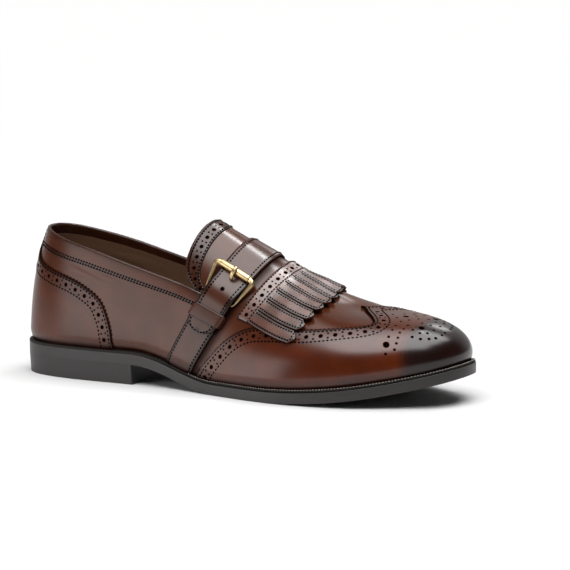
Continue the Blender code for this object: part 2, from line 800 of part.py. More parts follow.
def make_buckle():
    corners = []
    for rib, level, lift, _ in BUCKLE:
        corners.append(raised(np.array([rib]), np.array([level]), -1, np.array([lift]))[0])
    corners = np.array(corners)
    size = column(BUCKLE, 3)
    up = np.cross(corners[1] - corners[0], corners[3] - corners[0])
    up = up / np.linalg.norm(up)
    path = []
    radii = []
    for k in range(4):
        here, ahead, back = corners[k], corners[(k + 1) % 4], corners[k - 1]
        for share in (0.0, 0.5, 1.0):
            start = here + (back - here) * BUCKLE_CORNER
            end = here + (ahead - here) * BUCKLE_CORNER
            pull = (1 - share) ** 2 * start + 2 * share * (1 - share) * here + share ** 2 * end
            path.append(pull)
            radii.append(size[k])
        path.append(here + (ahead - here) * 0.5)
        radii.append((size[k] + size[(k + 1) % 4]) / 2)
    points, faces = rod(path, radii, up, 8, True)
    add_solid("buckle_frame", points, faces, "buckle_brass")

    a = corners[0] + (corners[1] - corners[0]) * ROLLER_FROM
    b = corners[0] + (corners[1] - corners[0]) * ROLLER_TO
    sides = 12
    shell, shell_faces = rod([a, b], [ROLLER_RADIUS, ROLLER_RADIUS], up, sides, False)
    bore, bore_faces = rod([a, b], [ROLLER_BORE, ROLLER_BORE], up, sides, False)
    faces = shell_faces[:sides]
    faces += [tuple(i + 2 * sides for i in face[::-1]) for face in bore_faces[:sides]]
    for base in (0, sides):
        for m in range(sides):
            n = (m + 1) % sides
            faces.append((base + m, base + n, base + n + 2 * sides, base + m + 2 * sides))
    add_solid("buckle_roller", shell + bore, faces, "buckle_brass")

    path = []
    for level, lift, _ in PRONG:
        path.append(raised(np.array([PRONG_RIB]), np.array([level]), -1, np.array([lift]))[0])
    along = corners[1] - corners[0]
    points, faces = rod(path, column(PRONG, 2), along / np.linalg.norm(along), 6, False)
    add_solid("buckle_prong", points, faces, "buckle_brass")


make_sole()
make_upper()
make_overlay("wing_cap", WING_EDGE, WING_COLUMNS, WING_FOOT, WING_ROWS, "wing_leather")
make_overlay("counter", COUNTER_EDGE, COUNTER_COLUMNS, COUNTER_FOOT, COUNTER_ROWS, "counter_leather")
make_base()
make_strap()
make_keeper()
make_kiltie()
make_buckle()
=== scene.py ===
import bpy
import math
import numpy as np
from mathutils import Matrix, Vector


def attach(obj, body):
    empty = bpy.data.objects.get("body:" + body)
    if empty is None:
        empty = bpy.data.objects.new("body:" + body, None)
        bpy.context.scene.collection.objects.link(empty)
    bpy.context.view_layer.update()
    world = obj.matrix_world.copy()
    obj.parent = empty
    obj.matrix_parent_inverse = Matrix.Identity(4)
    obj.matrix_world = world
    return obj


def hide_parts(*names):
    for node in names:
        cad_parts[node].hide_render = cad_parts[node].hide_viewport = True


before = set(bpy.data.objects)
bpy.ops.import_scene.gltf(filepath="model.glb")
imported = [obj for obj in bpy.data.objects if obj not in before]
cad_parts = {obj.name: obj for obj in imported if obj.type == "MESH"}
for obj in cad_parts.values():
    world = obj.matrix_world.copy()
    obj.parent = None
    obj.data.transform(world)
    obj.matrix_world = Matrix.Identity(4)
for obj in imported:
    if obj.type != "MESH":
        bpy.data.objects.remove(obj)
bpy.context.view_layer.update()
print("frame loaded, nodes:", len(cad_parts))

# form of the foot and the sole, the same as the solids'

# sizes in mm: x from heel to toe, y to the inner side, z up
shape = {
    "length": 300.0,
    "heelLength": 89.0,
    "heelHeight": 12.4,
    "soleThick": 8.1,
    "weltThick": 1.5,
    "ballBack": 150.0,
    "ballFront": 180.0,
    "toeSpring": 17.3,
    "springPower": 2.0,
    "heelRadius": 33.0,
    "toeRadius": 36.0,
    "featherBack": 4.4,
    "featherFront": 4.8,
    "tuckHeight": 7.0,
    "seatGap": 0.3,
}
millimetre = 0.001  # in the frame's metres

# share of length, outer half width, inner half width
outlineTable = [
    (0.06, 27.6, 27.2),
    (0.14, 33.5, 33.0),
    (0.26, 35.2, 32.0),
    (0.40, 38.4, 29.5),
    (0.52, 46.4, 35.0),
    (0.64, 53.3, 46.0),
    (0.74, 52.8, 50.0),
    (0.84, 45.4, 45.5),
    (0.92, 33.3, 34.0),
]

# share of length, distance of the upper inside the sole edge
insetTable = [(0.0, 3.9), (0.25, 2.9), (0.45, 2.8), (0.70, 4.2), (1.0, 4.8)]

# share, top x, top y, top z, lean, roundness outer, inner, fullness, bulge, roll
ribTable = [
    (0.000, 45.0, 0.0, 136.0, 0.0, 1.12, 1.12, 1.00, 2.2, 0.00),
    (0.100, 66.0, 0.6, 128.0, 5.0, 1.10, 1.10, 1.00, 2.6, 0.00),
    (0.200, 96.0, 1.4, 114.5, 14.0, 1.04, 1.04, 1.00, 3.0, 0.00),
    (0.310, 129.0, 2.4, 100.3, 24.0, 1.00, 1.00, 1.00, 3.4, 0.02),
    (0.385, 153.0, 3.0, 88.6, 28.0, 0.96, 0.92, 1.00, 3.4, 0.05),
    (0.455, 174.5, 3.4, 78.0, 31.0, 0.94, 0.88, 1.00, 3.2, 0.08),
    (0.500, 185.5, 3.6, 72.0, 30.0, 0.94, 0.86, 0.98, 3.0, 0.10),
    (0.620, 204.0, 3.6, 61.8, 22.0, 0.94, 0.82, 0.94, 2.6, 0.17),
    (0.740, 215.0, 3.2, 56.7, 8.0, 0.95, 0.82, 0.87, 2.3, 0.20),
    (0.850, 221.8, 2.6, 54.0, 0.0, 0.97, 0.88, 0.78, 2.0, 0.18),
    (0.950, 226.3, 2.2, 52.6, 0.0, 0.99, 0.96, 0.70, 1.7, 0.14),
    (1.000, 228.0, 2.0, 52.2, 0.0, 1.00, 1.00, 0.66, 1.6, 0.12),
]

# rib, collar height outer, inner
collarTable = [
    (0.000, 0.420, 0.420),
    (0.100, 0.414, 0.418),
    (0.160, 0.403, 0.412),
    (0.200, 0.397, 0.408),
    (0.250, 0.395, 0.406),
    (0.290, 0.391, 0.402),
    (0.334, 0.383, 0.394),
    (0.374, 0.378, 0.388),
    (0.412, 0.386, 0.392),
    (0.440, 0.394, 0.398),
]


# natural cubic through one column of a table, read at x and held at both ends
def curve(table, k, x):
    xs = np.array([row[0] for row in table], float)
    ys = np.array([row[k] for row in table], float)
    count = len(xs)
    step = np.diff(xs)
    matrix = np.eye(count)
    right = np.zeros(count)
    for i in range(1, count - 1):
        matrix[i, i - 1:i + 2] = step[i - 1], 2 * (step[i - 1] + step[i]), step[i]
        right[i] = 6 * ((ys[i + 1] - ys[i]) / step[i] - (ys[i] - ys[i - 1]) / step[i - 1])
    bend = np.linalg.solve(matrix, right)
    x = np.clip(np.asarray(x, float), xs[0], xs[-1])
    at = np.clip(np.searchsorted(xs, x, side="right") - 1, 0, count - 2)
    u = (xs[at + 1] - x) / step[at]
    v = (x - xs[at]) / step[at]
    sag = (u ** 3 - u) * bend[at] + (v ** 3 - v) * bend[at + 1]
    return u * ys[at] + v * ys[at + 1] + sag * step[at] ** 2 / 6


# 0 at a, 1 at b, eased between and held beyond
def ease(a, b, x):
    t = np.clip((np.asarray(x, float) - a) / (b - a), 0, 1)
    return t * t * (3 - 2 * t)


# vectors over their own lengths
def unit(v):
    return v / np.maximum(np.linalg.norm(v, axis=-1, keepdims=True), 1e-9)


# place along the sole of a rib: half a cosine wave, so both ends round off
def shareOf(rib):
    return (1 - np.cos(np.pi * np.asarray(rib, float))) / 2


# half width over the sine of the rib, so the outline closes with the given radii
def fullWidth(rib, side):
    rows = [(0.0, math.sqrt(shape["heelRadius"] * shape["length"] / 2))]
    for share, outer, inner in outlineTable:
        rows.append((share, (outer if side < 0 else inner) / (2 * math.sqrt(share * (1 - share)))))
    rows.append((1.0, math.sqrt(shape["toeRadius"] * shape["length"] / 2)))
    return curve(rows, 1, shareOf(rib))


# sole outline moved inwards by inset
def soleEdge(rib, side, inset):
    rib = np.asarray(rib, float)
    x = inset + shareOf(rib) * (shape["length"] - 2 * inset)
    y = side * np.sin(np.pi * rib) * (fullWidth(rib, side) - inset)
    return x, y


# flat heel seat, eased arch, flat ball, power curve up to the toe
def soleBottom(x):
    back = ease(shape["heelLength"], shape["ballBack"], x)
    front = np.clip((x - shape["ballFront"]) / (shape["length"] - shape["ballFront"]), 0, 1)
    return shape["heelHeight"] * (1 - back) + shape["toeSpring"] * front ** shape["springPower"]


# height over the top of the welt
def overWelt(p):
    return p[..., 2] - soleBottom(p[..., 0]) - shape["soleThick"]


# sole outline less the inset table, on top of the welt
def feather(rib, side):
    share = shareOf(rib)
    back, front = shape["featherBack"], shape["featherFront"]
    x = back + share * (shape["length"] - back - front)
    y = side * np.sin(np.pi * rib) * (fullWidth(rib, side) - curve(insetTable, 1, share))
    return np.stack([x, y, soleBottom(x) + shape["soleThick"] + shape["seatGap"]], -1)


# arch from the feather to the top of the rib: inward by 1 - cos^roundness, up by sin^fullness,
# plus a bulge over the welt and a tilt that keeps the ridge smooth
def skin(rib, level, side):
    rib, level = np.broadcast_arrays(np.asarray(rib, float), np.asarray(level, float))
    share = shareOf(rib)
    foot = feather(rib, side)
    top = np.stack([curve(ribTable, k, share) for k in (1, 2, 3)], -1)
    lean = np.radians(curve(ribTable, 4, share))
    rounding = curve(ribTable, 5 if side < 0 else 6, share)
    fullness = curve(ribTable, 7, share)
    bulge = curve(ribTable, 8, share)
    roll = curve(ribTable, 9, share)
    step = 0.001
    near, far = np.clip(share - step, 0, 1), np.clip(share + step, 0, 1)
    climb = curve(ribTable, 3, far) - curve(ribTable, 3, near)
    slope = climb / (curve(ribTable, 1, far) - curve(ribTable, 1, near))
    rise = top[..., 2] - foot[..., 2]
    upward = np.stack([np.tan(lean) * rise, 0 * rise, rise], -1)
    inward = top - foot - upward
    cosine = np.clip(np.cos(level * np.pi / 2), 0, 1)
    across = 1 - cosine ** rounding
    height = np.clip(np.sin(level * np.pi / 2), 0, 1) ** fullness
    point = foot + inward * across[..., None] + upward * height[..., None]
    tilt = slope * inward[..., 0] + roll * inward[..., 1]
    point[..., 2] -= tilt * across ** 3 * (1 - across)
    over = np.clip((point[..., 2] - foot[..., 2]) / shape["tuckHeight"], 0, 1)
    swell = bulge * (1 - (1 - over) ** 2) * cosine ** 2
    return point - unit(inward * np.array([1.0, 1.0, 0.0])) * swell[..., None]


# cross product of two short steps on the skin
def outward(rib, level, side):
    rib, level = np.broadcast_arrays(np.asarray(rib, float), np.asarray(level, float))
    step = 0.002
    along = skin(np.clip(rib + step, 0, 1), level, side) - skin(np.clip(rib - step, 0, 1), level, side)
    rising = skin(rib, np.clip(level + step, 0, 1), side) - skin(rib, np.clip(level - step, 0, 1), side)
    return unit(np.cross(along, rising) * -side)


# skin pushed out along its normal
def raised(rib, level, side, lift):
    lift = np.asarray(lift, float)
    return skin(rib, level, side) + outward(rib, level, side) * lift[..., None]


# skin read by one run number over both sides: 0 inner welt, 1 ridge, 2 outer welt
def overFoot(rib, run, lift):
    rib, run, lift = np.broadcast_arrays(rib, run, lift)
    level = np.clip(np.minimum(run, 2 - run), 0, 1)
    inner = raised(rib, level, 1, lift)
    outer = raised(rib, level, -1, lift)
    return np.where((run < 1)[..., None], inner, outer)


# level line inside the shoe that every outside faces away from
footLine = {"back": 60.0, "front": 225.0, "high": 30.0}


# steps to the points from the nearest places on that line
def fromFootLine(p):
    x = np.clip(p[..., 0], footLine["back"], footLine["front"])
    return p - np.stack([x, 0 * x, footLine["high"] + 0 * x], -1)


# cross product of the grid's own steps, turned away from the line inside the shoe
def gridNormals(p):
    n = unit(np.cross(np.gradient(p, axis=1), np.gradient(p, axis=0)))
    return n if np.sum(n * fromFootLine(p)) > 0 else -n


wholeOutline = np.linspace(0, 1, 401)
outermost = soleEdge(wholeOutline, -1, 0.0)[1].min()
innermost = soleEdge(wholeOutline, 1, 0.0)[1].max()
centre = np.array([shape["length"] / 2, (outermost + innermost) / 2, 0.0])  # the frame's origin

# meshes

# where the polish and the dull crease over the welt begin and end, in mm
finishLook = {
    "toePolish": (170.0, 250.0),
    "instepPolish": 0.3,
    "instepHigh": (40.0, 62.0),
    "instepAlong": (100.0, 150.0),
    "crease": 4.4,
    "creaseLessAtToe": 1.9,
    "creaseAlong": (120.0, 220.0),
    "creaseSoft": (0.15, 1.0),
}


# polish: 0 on the quarters, a little on top of the instep, 1 on the toe
def polish(p):
    instep = finishLook["instepPolish"] * ease(*finishLook["instepHigh"], p[..., 2])
    instep = instep * ease(*finishLook["instepAlong"], p[..., 0])
    return np.maximum(ease(*finishLook["toePolish"], p[..., 0]), instep)


# share without polish: 1 in the crease over the welt, 0 above it; the crease is lower at the toe
def bare(p):
    lower = finishLook["creaseLessAtToe"] * ease(*finishLook["creaseAlong"], p[..., 0])
    return 1 - ease(*finishLook["creaseSoft"], overWelt(p) / (finishLook["crease"] - lower))


# index of the four corners of every cell in a grid
def cells(rows, columns, start=0, closed=False):
    i = np.arange(rows - 1)[:, None]
    j = np.arange(columns if closed else columns - 1)[None]
    a = start + i * columns + j
    b = start + i * columns + (j + 1) % columns
    return np.stack([a, b, b + columns, a + columns], -1).reshape(-1, 4)


# mesh from arrays; colour, painted shade included, and polish go to a point colour attribute, what is left
# dull to bare
def addMesh(name, points, quads, materials, colours=None, materialOf=None, dull=0.0):
    points = np.asarray(points, float).reshape(-1, 3)
    quads = np.asarray(quads, int)
    mesh = bpy.data.meshes.new(name)
    mesh.vertices.add(len(points))
    mesh.vertices.foreach_set("co", ((points - centre) * millimetre).astype(np.float32).ravel())
    mesh.loops.add(quads.size)
    mesh.loops.foreach_set("vertex_index", quads.ravel().astype(np.int32))
    mesh.polygons.add(len(quads))
    mesh.polygons.foreach_set("loop_start", np.arange(0, quads.size, 4, dtype=np.int32))
    mesh.polygons.foreach_set("use_smooth", np.ones(len(quads), bool))
    for m in materials:
        mesh.materials.append(m)
    if materialOf is not None:
        mesh.polygons.foreach_set("material_index", np.asarray(materialOf, np.int32))
    if colours is not None:
        tint = np.ones((len(points), 4), np.float32)
        tint[:, :3] = np.asarray(colours, float).reshape(-1, 3)
        tint[:, 3] = polish(points)
        unpolished = np.maximum(bare(points), np.ravel(dull)).astype(np.float32)
        mesh.attributes.new("patinaAndShade", "FLOAT_COLOR", "POINT").data.foreach_set("color", tint.ravel())
        mesh.attributes.new("bare", "FLOAT", "POINT").data.foreach_set("value", unpolished)
    mesh.update(calc_edges=True)
    mesh.validate()
    thing = bpy.data.objects.new(name, mesh)
    bpy.context.scene.collection.objects.link(thing)
    return thing


# several grids in one mesh, each turned to face away from the line inside the shoe;
# the second material covers the cut outer rings or the last rows, the lip
def addGrids(name, grids, materials, colours=None, closed=False, turn=True, cut=0, lip=0, dull=0.0):
    start = 0
    quads, marks = [], []
    for g in grids:
        rows, columns = g.shape[:2]
        q = cells(rows, columns, start, closed)
        n = np.cross(np.gradient(g, axis=1), np.gradient(g, axis=0))
        flip = turn and np.sum(n * fromFootLine(g)) < 0
        quads.append(q[:, ::-1] if flip else q)
        mark = np.zeros((rows - 1, columns if closed else columns - 1), int)
        if cut:
            mark[:cut] = mark[-cut:] = mark[:, :cut] = mark[:, -cut:] = 1
        mark[len(mark) - lip:] = 1
        marks.append(mark.ravel())
        start += rows * columns
    points = np.concatenate([g.reshape(-1, 3) for g in grids])
    tint = None if colours is None else np.concatenate([c.reshape(-1, 3) for c in colours])
    return addMesh(name, points, np.concatenate(quads), materials, tint, np.concatenate(marks), dull)


# many small closed rings: shape (pieces, rings, sides, 3)
def addRings(name, rings, materials, colours=None):
    pieces, count, sides = rings.shape[:3]
    one = cells(count, sides, 0, True)
    quads = (one[None] + (np.arange(pieces) * count * sides)[:, None, None]).reshape(-1, 4)
    return addMesh(name, rings.reshape(-1, 3), quads, materials, colours)


# piece on the one body, in place of a solid where it has one
def place(thing, node):
    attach(thing, "root")
    if node:
        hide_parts(node)


# distance from every point to the nearest of others, and its index, in blocks to save memory
def nearest(points, others):
    blockSize = 60
    gaps, found = [], []
    for block in np.array_split(points, max(1, len(points) // blockSize)):
        d = ((block[:, None] - others[None]) ** 2).sum(-1)
        gaps.append(np.sqrt(d.min(1)))
        found.append(d.argmin(1))
    return np.concatenate(gaps), np.concatenate(found)


# colours and finishes

tones = {
    "brown": (0.0600, 0.0140, 0.0040),
    "flank": (0.0660, 0.0098, 0.0008),
    "top": (0.0560, 0.0140, 0.0050),
    "strap": (0.0540, 0.0165, 0.0085),
    "kiltie": (0.0800, 0.0225, 0.0110),
    "toe": (0.0075, 0.0022, 0.0020),
    # edge: the dark tone of dark edges; also the painted shade along the welt, in creases and seams and
    # next to laid-over parts
    "edge": (0.0100, 0.0038, 0.0028),
    # hole: painted shade of a punched hole's inside
    "paintedHoleShade": (0.0010, 0.0006, 0.0005),
    "thread": (0.0012, 0.0009, 0.0008),
}

# where each tone begins and is full, in mm along the shoe or over the welt, and its share
patinaAndShadeLook = {
    "flankAlong": (150.0, 185.0),
    "flankHigh": (24.0, 36.0),
    "flank": 0.9,
    "topHigh": (30.0, 52.0),
    "top": 0.8,
    # welt and crease below are painted shade at the foot of the upper
    "weltShadeHigh": (0.0, 7.0),
    "welt": 0.55,
    "crease": 0.8,
    "toeAlong": (267.0, 275.0),
    "toe": 0.97,
}


# slow wave over the skin, so tones don't change along straight lines
def wander(p):
    x, y, z = p[..., 0], p[..., 1], p[..., 2]
    wave = np.sin(x * 0.11 + y * 0.07) + 0.6 * np.sin(z * 0.21 - x * 0.05 + 1.3)
    return wave + 0.4 * np.sin(y * 0.19 + z * 0.13)


# brown, warmer on the lower flank, greyer on top, nearly black at the toe, with painted shade along the
# welt and in the crease over it;
# each tone is mixed over the ones before by its share, the given edge shade last: dark edges, and painted
# shade where a caller gives it
def patinaAndShade(p, edgeShade=None, start="brown"):
    look = patinaAndShadeLook
    x, above, w = p[..., 0], overWelt(p), wander(p)
    layers = []
    if start == "brown":
        flank = ease(*look["flankAlong"], x) * (1 - ease(*look["flankHigh"], above + w))
        layers.append(("flank", flank * look["flank"]))
        layers.append(("top", ease(*look["topHigh"], above + 2 * w) * look["top"]))
    # painted shade: darker along the welt and in the crease over it, where the upper tucks in and shade
    # falls
    layers.append(("edge", (1 - ease(*look["weltShadeHigh"], above + 0.8 * w)) * look["welt"]))
    layers.append(("edge", bare(p) * look["crease"]))
    layers.append(("toe", ease(*look["toeAlong"], x + 1.5 * w) * look["toe"]))
    if edgeShade is not None:
        layers.append(("edge", edgeShade))
    colour = np.array(tones[start]) + np.zeros(p.shape)
    for name, amount in layers:
        amount = np.clip(amount, 0, 1)[..., None]
        colour = colour * (1 - amount) + np.array(tones[name]) * amount
    return colour


# shader node with the given sockets set
def addNode(tree, kind, sockets=None):
    node = tree.nodes.new(kind)
    for name, value in (sockets or {}).items():
        node.inputs[name].default_value = value
    return node


grainDepth = 0.0004  # m


# leather: patina colour with its painted shade, times cloudy mottling, a fine grain bump, and a coat of
# polish that goes where bare is 1 and is smoother where the colour's alpha is 1
def leather(name, look):
    m = bpy.data.materials.new(name)
    m.use_nodes = True
    tree = m.node_tree
    shader = tree.nodes["Principled BSDF"]
    shader.inputs["Roughness"].default_value = look["rough"]
    shader.inputs["Specular IOR Level"].default_value = look["shine"]
    coords = addNode(tree, "ShaderNodeTexCoord")
    tint = addNode(tree, "ShaderNodeAttribute")
    tint.attribute_name = "patinaAndShade"
    crease = addNode(tree, "ShaderNodeAttribute")
    crease.attribute_name = "bare"
    cloud = addNode(tree, "ShaderNodeTexNoise", {"Scale": look["cloudScale"], "Detail": 4.0})
    low, high = 1 - look["mottle"], 1 + look["mottle"]
    mottle = addNode(tree, "ShaderNodeMapRange",
                     {"From Min": 0.3, "From Max": 0.7, "To Min": low, "To Max": high})
    times = addNode(tree, "ShaderNodeVectorMath")
    times.operation = "SCALE"
    grain = addNode(tree, "ShaderNodeTexNoise", {"Scale": look["grainScale"], "Detail": 3.0})
    bump = addNode(tree, "ShaderNodeBump", {"Strength": look["grain"], "Distance": grainDepth})
    coat = addNode(tree, "ShaderNodeMapRange", {"To Min": look["coat"], "To Max": 0.0})
    satin = addNode(tree, "ShaderNodeMapRange", {"To Min": look["coatRough"], "To Max": look["polished"]})
    link = tree.links.new
    link(coords.outputs["Object"], cloud.inputs["Vector"])
    link(cloud.outputs["Fac"], mottle.inputs["Value"])
    link(tint.outputs["Color"], times.inputs[0])
    link(mottle.outputs["Result"], times.inputs["Scale"])
    link(times.outputs["Vector"], shader.inputs["Base Color"])
    link(coords.outputs["Object"], grain.inputs["Vector"])
    link(grain.outputs["Fac"], bump.inputs["Height"])
    link(bump.outputs["Normal"], shader.inputs["Normal"])
    link(crease.outputs["Fac"], coat.inputs["Value"])
    link(coat.outputs["Result"], shader.inputs["Coat Weight"])
    link(tint.outputs["Alpha"], satin.inputs["Value"])
    link(satin.outputs["Result"], shader.inputs["Coat Roughness"])
    return m


# one plain colour, with a noise bump where a grain is given
def plain(name, look):
    m = bpy.data.materials.new(name)
    m.use_nodes = True
    tree = m.node_tree
    shader = tree.nodes["Principled BSDF"]
    shader.inputs["Base Color"].default_value = (*look["colour"], 1.0)
    shader.inputs["Roughness"].default_value = look["rough"]
    shader.inputs["Metallic"].default_value = look.get("metal", 0.0)
    shader.inputs["Specular IOR Level"].default_value = look.get("shine", 0.5)
    if "grain" in look:
        coords = addNode(tree, "ShaderNodeTexCoord")
        noise = addNode(tree, "ShaderNodeTexNoise", {"Scale": look["grainScale"]})
        bump = addNode(tree, "ShaderNodeBump", {"Strength": look["grain"], "Distance": grainDepth})
        tree.links.new(coords.outputs["Object"], noise.inputs["Vector"])
        tree.links.new(noise.outputs["Fac"], bump.inputs["Height"])
        tree.links.new(bump.outputs["Normal"], shader.inputs["Normal"])
    return m


calf = {
    "cloudScale": 55.0,
    "mottle": 0.22,
    "grainScale": 1300.0,
    "grain": 0.40,
    "rough": 0.55,
    "shine": 0.0,
    "coat": 0.85,
    "coatRough": 0.27,
    "polished": 0.14,
}
grainedCalf = calf | {
    "cloudScale": 110.0,
    "mottle": 0.45,
    "grainScale": 750.0,
    "grain": 0.95,
    "rough": 0.42,
    "shine": 0.7,
    "polished": 0.24,
}
upperLeather = leather("upperLeather", calf)
wingLeather = leather("wingLeather", calf | {"coat": 1.0, "grain": 0.50, "polished": 0.23})
strapLeather = leather("strapLeather", calf | {"grain": 0.70, "coatRough": 0.28})
kiltieLeather = leather("kiltieLeather", grainedCalf)
cutLeather = leather("cutLeather", calf | {"coat": 0.0, "rough": 0.7})

lining = plain("lining", {
    "colour": (0.180, 0.092, 0.050),
    "rough": 0.6,
    "grain": 0.3,
    "grainScale": 700.0,
})
sockLeather = plain("sockLeather", {
    "colour": (0.020, 0.015, 0.012),
    "rough": 0.55,
    "grain": 0.2,
    "grainScale": 500.0,
})
soleEdgeDressing = plain("soleEdgeDressing", {
    "colour": (0.0225, 0.0195, 0.0188),
    "rough": 0.44,
    "grain": 0.12,
    "grainScale": 300.0,
})
# welt: darker than the outsole's edge; the extra darkness is painted shade of the groove under the upper
shadedWeltDressing = plain("shadedWeltDressing", {"colour": (0.0150, 0.0125, 0.0115), "rough": 0.6, "shine": 0.15})
heelDressing = plain("heelDressing", {
    "colour": (0.0205, 0.0175, 0.0168),
    "rough": 0.46,
    "grain": 0.15,
    "grainScale": 260.0,
})
thread = plain("thread", {"colour": tones["thread"], "rough": 0.9, "shine": 0.0})
weltThread = plain("weltThread", {"colour": (0.32, 0.29, 0.26), "rough": 0.6})
brass = plain("brass", {
    "colour": (0.58, 0.43, 0.22),
    "rough": 0.34,
    "metal": 1.0,
    "grain": 0.06,
    "grainScale": 500.0,
})
print("materials ready")

# quarters

upperLook = {
    "wall": 2.2,
    "rimRows": 7,
    "columns": 150,
    "columnSpacing": 0.8,  # power, below 1 closer to the strap
    "rows": 64,
    "rowSpacing": 0.9,  # power, below 1 closer to the collar
    "innerRows": 36,
    "innerLowest": 3,
    "facingRows": 2,  # leather turned in over the collar
    "joinRib": 0.436,  # hidden end under the strap
    "lap": 0.9,  # over the tongue
    "lapRibs": (0.385, 0.412),
    "lapHigh": (0.5, 0.9),
    # painted shade in the fold under the collar seam: place, width and share
    "seam": 0.845,
    "seamWide": 0.022,
    "paintedSeamShade": 0.55,
    "collarHigh": (0.93, 1.0),
    "collarShade": 0.5,
    "rimShade": 0.6,
    "innerShade": 0.35,
}

# soft wrinkles on the quarter under the collar: x, z, length, height, angle, depth
wrinkles = [
    (52.0, 70.0, 17.0, 1.6, -14.0, 0.30),
    (58.0, 66.5, 15.0, 1.4, -16.0, 0.26),
    (47.0, 66.0, 12.0, 1.3, -12.0, 0.22),
    (66.0, 68.0, 12.0, 1.3, -18.0, 0.20),
]


# height share of the collar's edge
def collarLevel(rib, side):
    return curve(collarTable, 1 if side < 0 else 2, rib)


# lift of the quarters where they lap over the tongue
def collarLap(rib):
    return upperLook["lap"] * ease(*upperLook["lapRibs"], rib)


# sum of short gaussian ripples, each in its own turned frame
def wrinkle(p):
    sink = np.zeros(p.shape[:-1])
    for x, z, length, height, angle, depth in wrinkles:
        c, s = math.cos(math.radians(angle)), math.sin(math.radians(angle))
        u = ((p[..., 0] - x) * c + (p[..., 2] - z) * s) / length
        v = (-(p[..., 0] - x) * s + (p[..., 2] - z) * c) / height
        sink += depth * np.exp(-u * u - v * v) * (1 - 0.6 * v * v)
    return sink


# half circle of rows or columns from one side of a wall to the other, over its free edge
def rimArc(middle, radius, normal, away, angle):
    return middle + radius * (np.cos(angle) * normal + np.sin(angle) * away)


# skin up to the collar, less the wrinkles; rows go up the outside, round the edge and down the inside
def makeQuarters(look):
    rows = np.linspace(0, 1, look["rows"]) ** look["rowSpacing"]
    ribs = look["joinRib"] * np.linspace(0, 1, look["columns"]) ** look["columnSpacing"]
    halves = []
    for side in (-1, 1):
        level = rows[:, None] * collarLevel(ribs, side)[None]
        grid = skin(ribs[None] + 0 * level, level, side)
        lap = collarLap(ribs)[None] * ease(*look["lapHigh"], rows)[:, None]
        normal = outward(ribs[None] + 0 * level, level, side)
        halves.append(grid + normal * (lap - wrinkle(grid))[..., None])
    sheet = np.concatenate([halves[0][:, ::-1], halves[1][:, 1:]], axis=1)
    normal = gridNormals(sheet)
    inside = sheet - normal * look["wall"]
    angle = np.linspace(0, np.pi, look["rimRows"] + 2)[1:-1, None, None]
    up = unit(sheet[-1] - sheet[-3])
    rim = rimArc((sheet[-1] + inside[-1]) / 2, look["wall"] / 2, normal[-1], up, angle)
    keep = np.linspace(look["rows"] - 1, look["innerLowest"], look["innerRows"]).astype(int)
    points = np.concatenate([sheet, rim, inside[keep]])
    shade = look["collarShade"] * ease(*look["collarHigh"], rows)
    # painted shade along the fold of the collar seam
    shade += look["paintedSeamShade"] * np.exp(-((rows - look["seam"]) / look["seamWide"]) ** 2)
    rimShade = np.full(look["rimRows"], look["rimShade"])
    innerShade = np.full(look["innerRows"], look["innerShade"])
    shade = np.concatenate([shade, rimShade, innerShade])[:, None] + np.zeros(points.shape[:2])
    count, columns = points.shape[:2]
    quads = cells(count, columns)[:, ::-1]
    band = np.repeat(np.arange(count - 1), columns - 1)
    lined = band > look["rows"] + look["rimRows"] + look["facingRows"]
    return addMesh("quarters", points, quads, [upperLeather, lining], patinaAndShade(points, shade),
                   lined.astype(int))


place(makeQuarters(upperLook), "upper")
print("quarters done")

# stitches and punched holes, gathered from all pieces

threadLook = {"step": 2.15, "skip": 0.6, "share": 0.70, "radius": 0.54}

holes = {"p": [], "n": [], "r": []}
threads = {"p": [], "n": [], "d": []}
weltThreads = {"p": [], "n": [], "d": []}


# points at even steps along a line, with the line's normals and directions
def evenSteps(line, normals, step, skip=0.0):
    reach = 0.3
    seg = np.linalg.norm(np.diff(line, axis=0), axis=1)
    length = np.concatenate([[0], np.cumsum(seg)])
    at = np.arange(skip, length[-1] - skip + 1e-6, step)
    p = np.stack([np.interp(at, length, line[:, k]) for k in range(3)], -1)
    n = unit(np.stack([np.interp(at, length, normals[:, k]) for k in range(3)], -1))
    ahead = np.stack([np.interp(at + reach, length, line[:, k]) for k in range(3)], -1)
    behind = np.stack([np.interp(at - reach, length, line[:, k]) for k in range(3)], -1)
    return p, n, unit(ahead - behind)


# holes of one radius, kept for the mesh of all holes
def addHoles(p, n, radius):
    holes["p"].append(p)
    holes["n"].append(n)
    holes["r"].append(np.full(len(p), radius))


# one stitch to a step along a line, kept for a mesh of stitches
def addThread(line, normals, step=threadLook["step"], skip=threadLook["skip"], into=threads):
    p, n, d = evenSteps(line, normals, step, skip)
    into["p"].append(p)
    into["n"].append(n)
    into["d"].append(d * step)


# brogue row: big holes at the pitch, a pair of small ones between
def brogueRow(line, normals, look):
    p, n, d = evenSteps(line, normals, look["pitch"], look["skip"])
    addHoles(p, n, look["big"])
    p, n, d = evenSteps(line, normals, look["pitch"], look["skip"] + look["pitch"] / 2)
    across = np.cross(n, d)
    addHoles(p + across * look["spread"], n, look["small"])
    addHoles(p - across * look["spread"], n, look["small"])


# overlays with a gimped edge

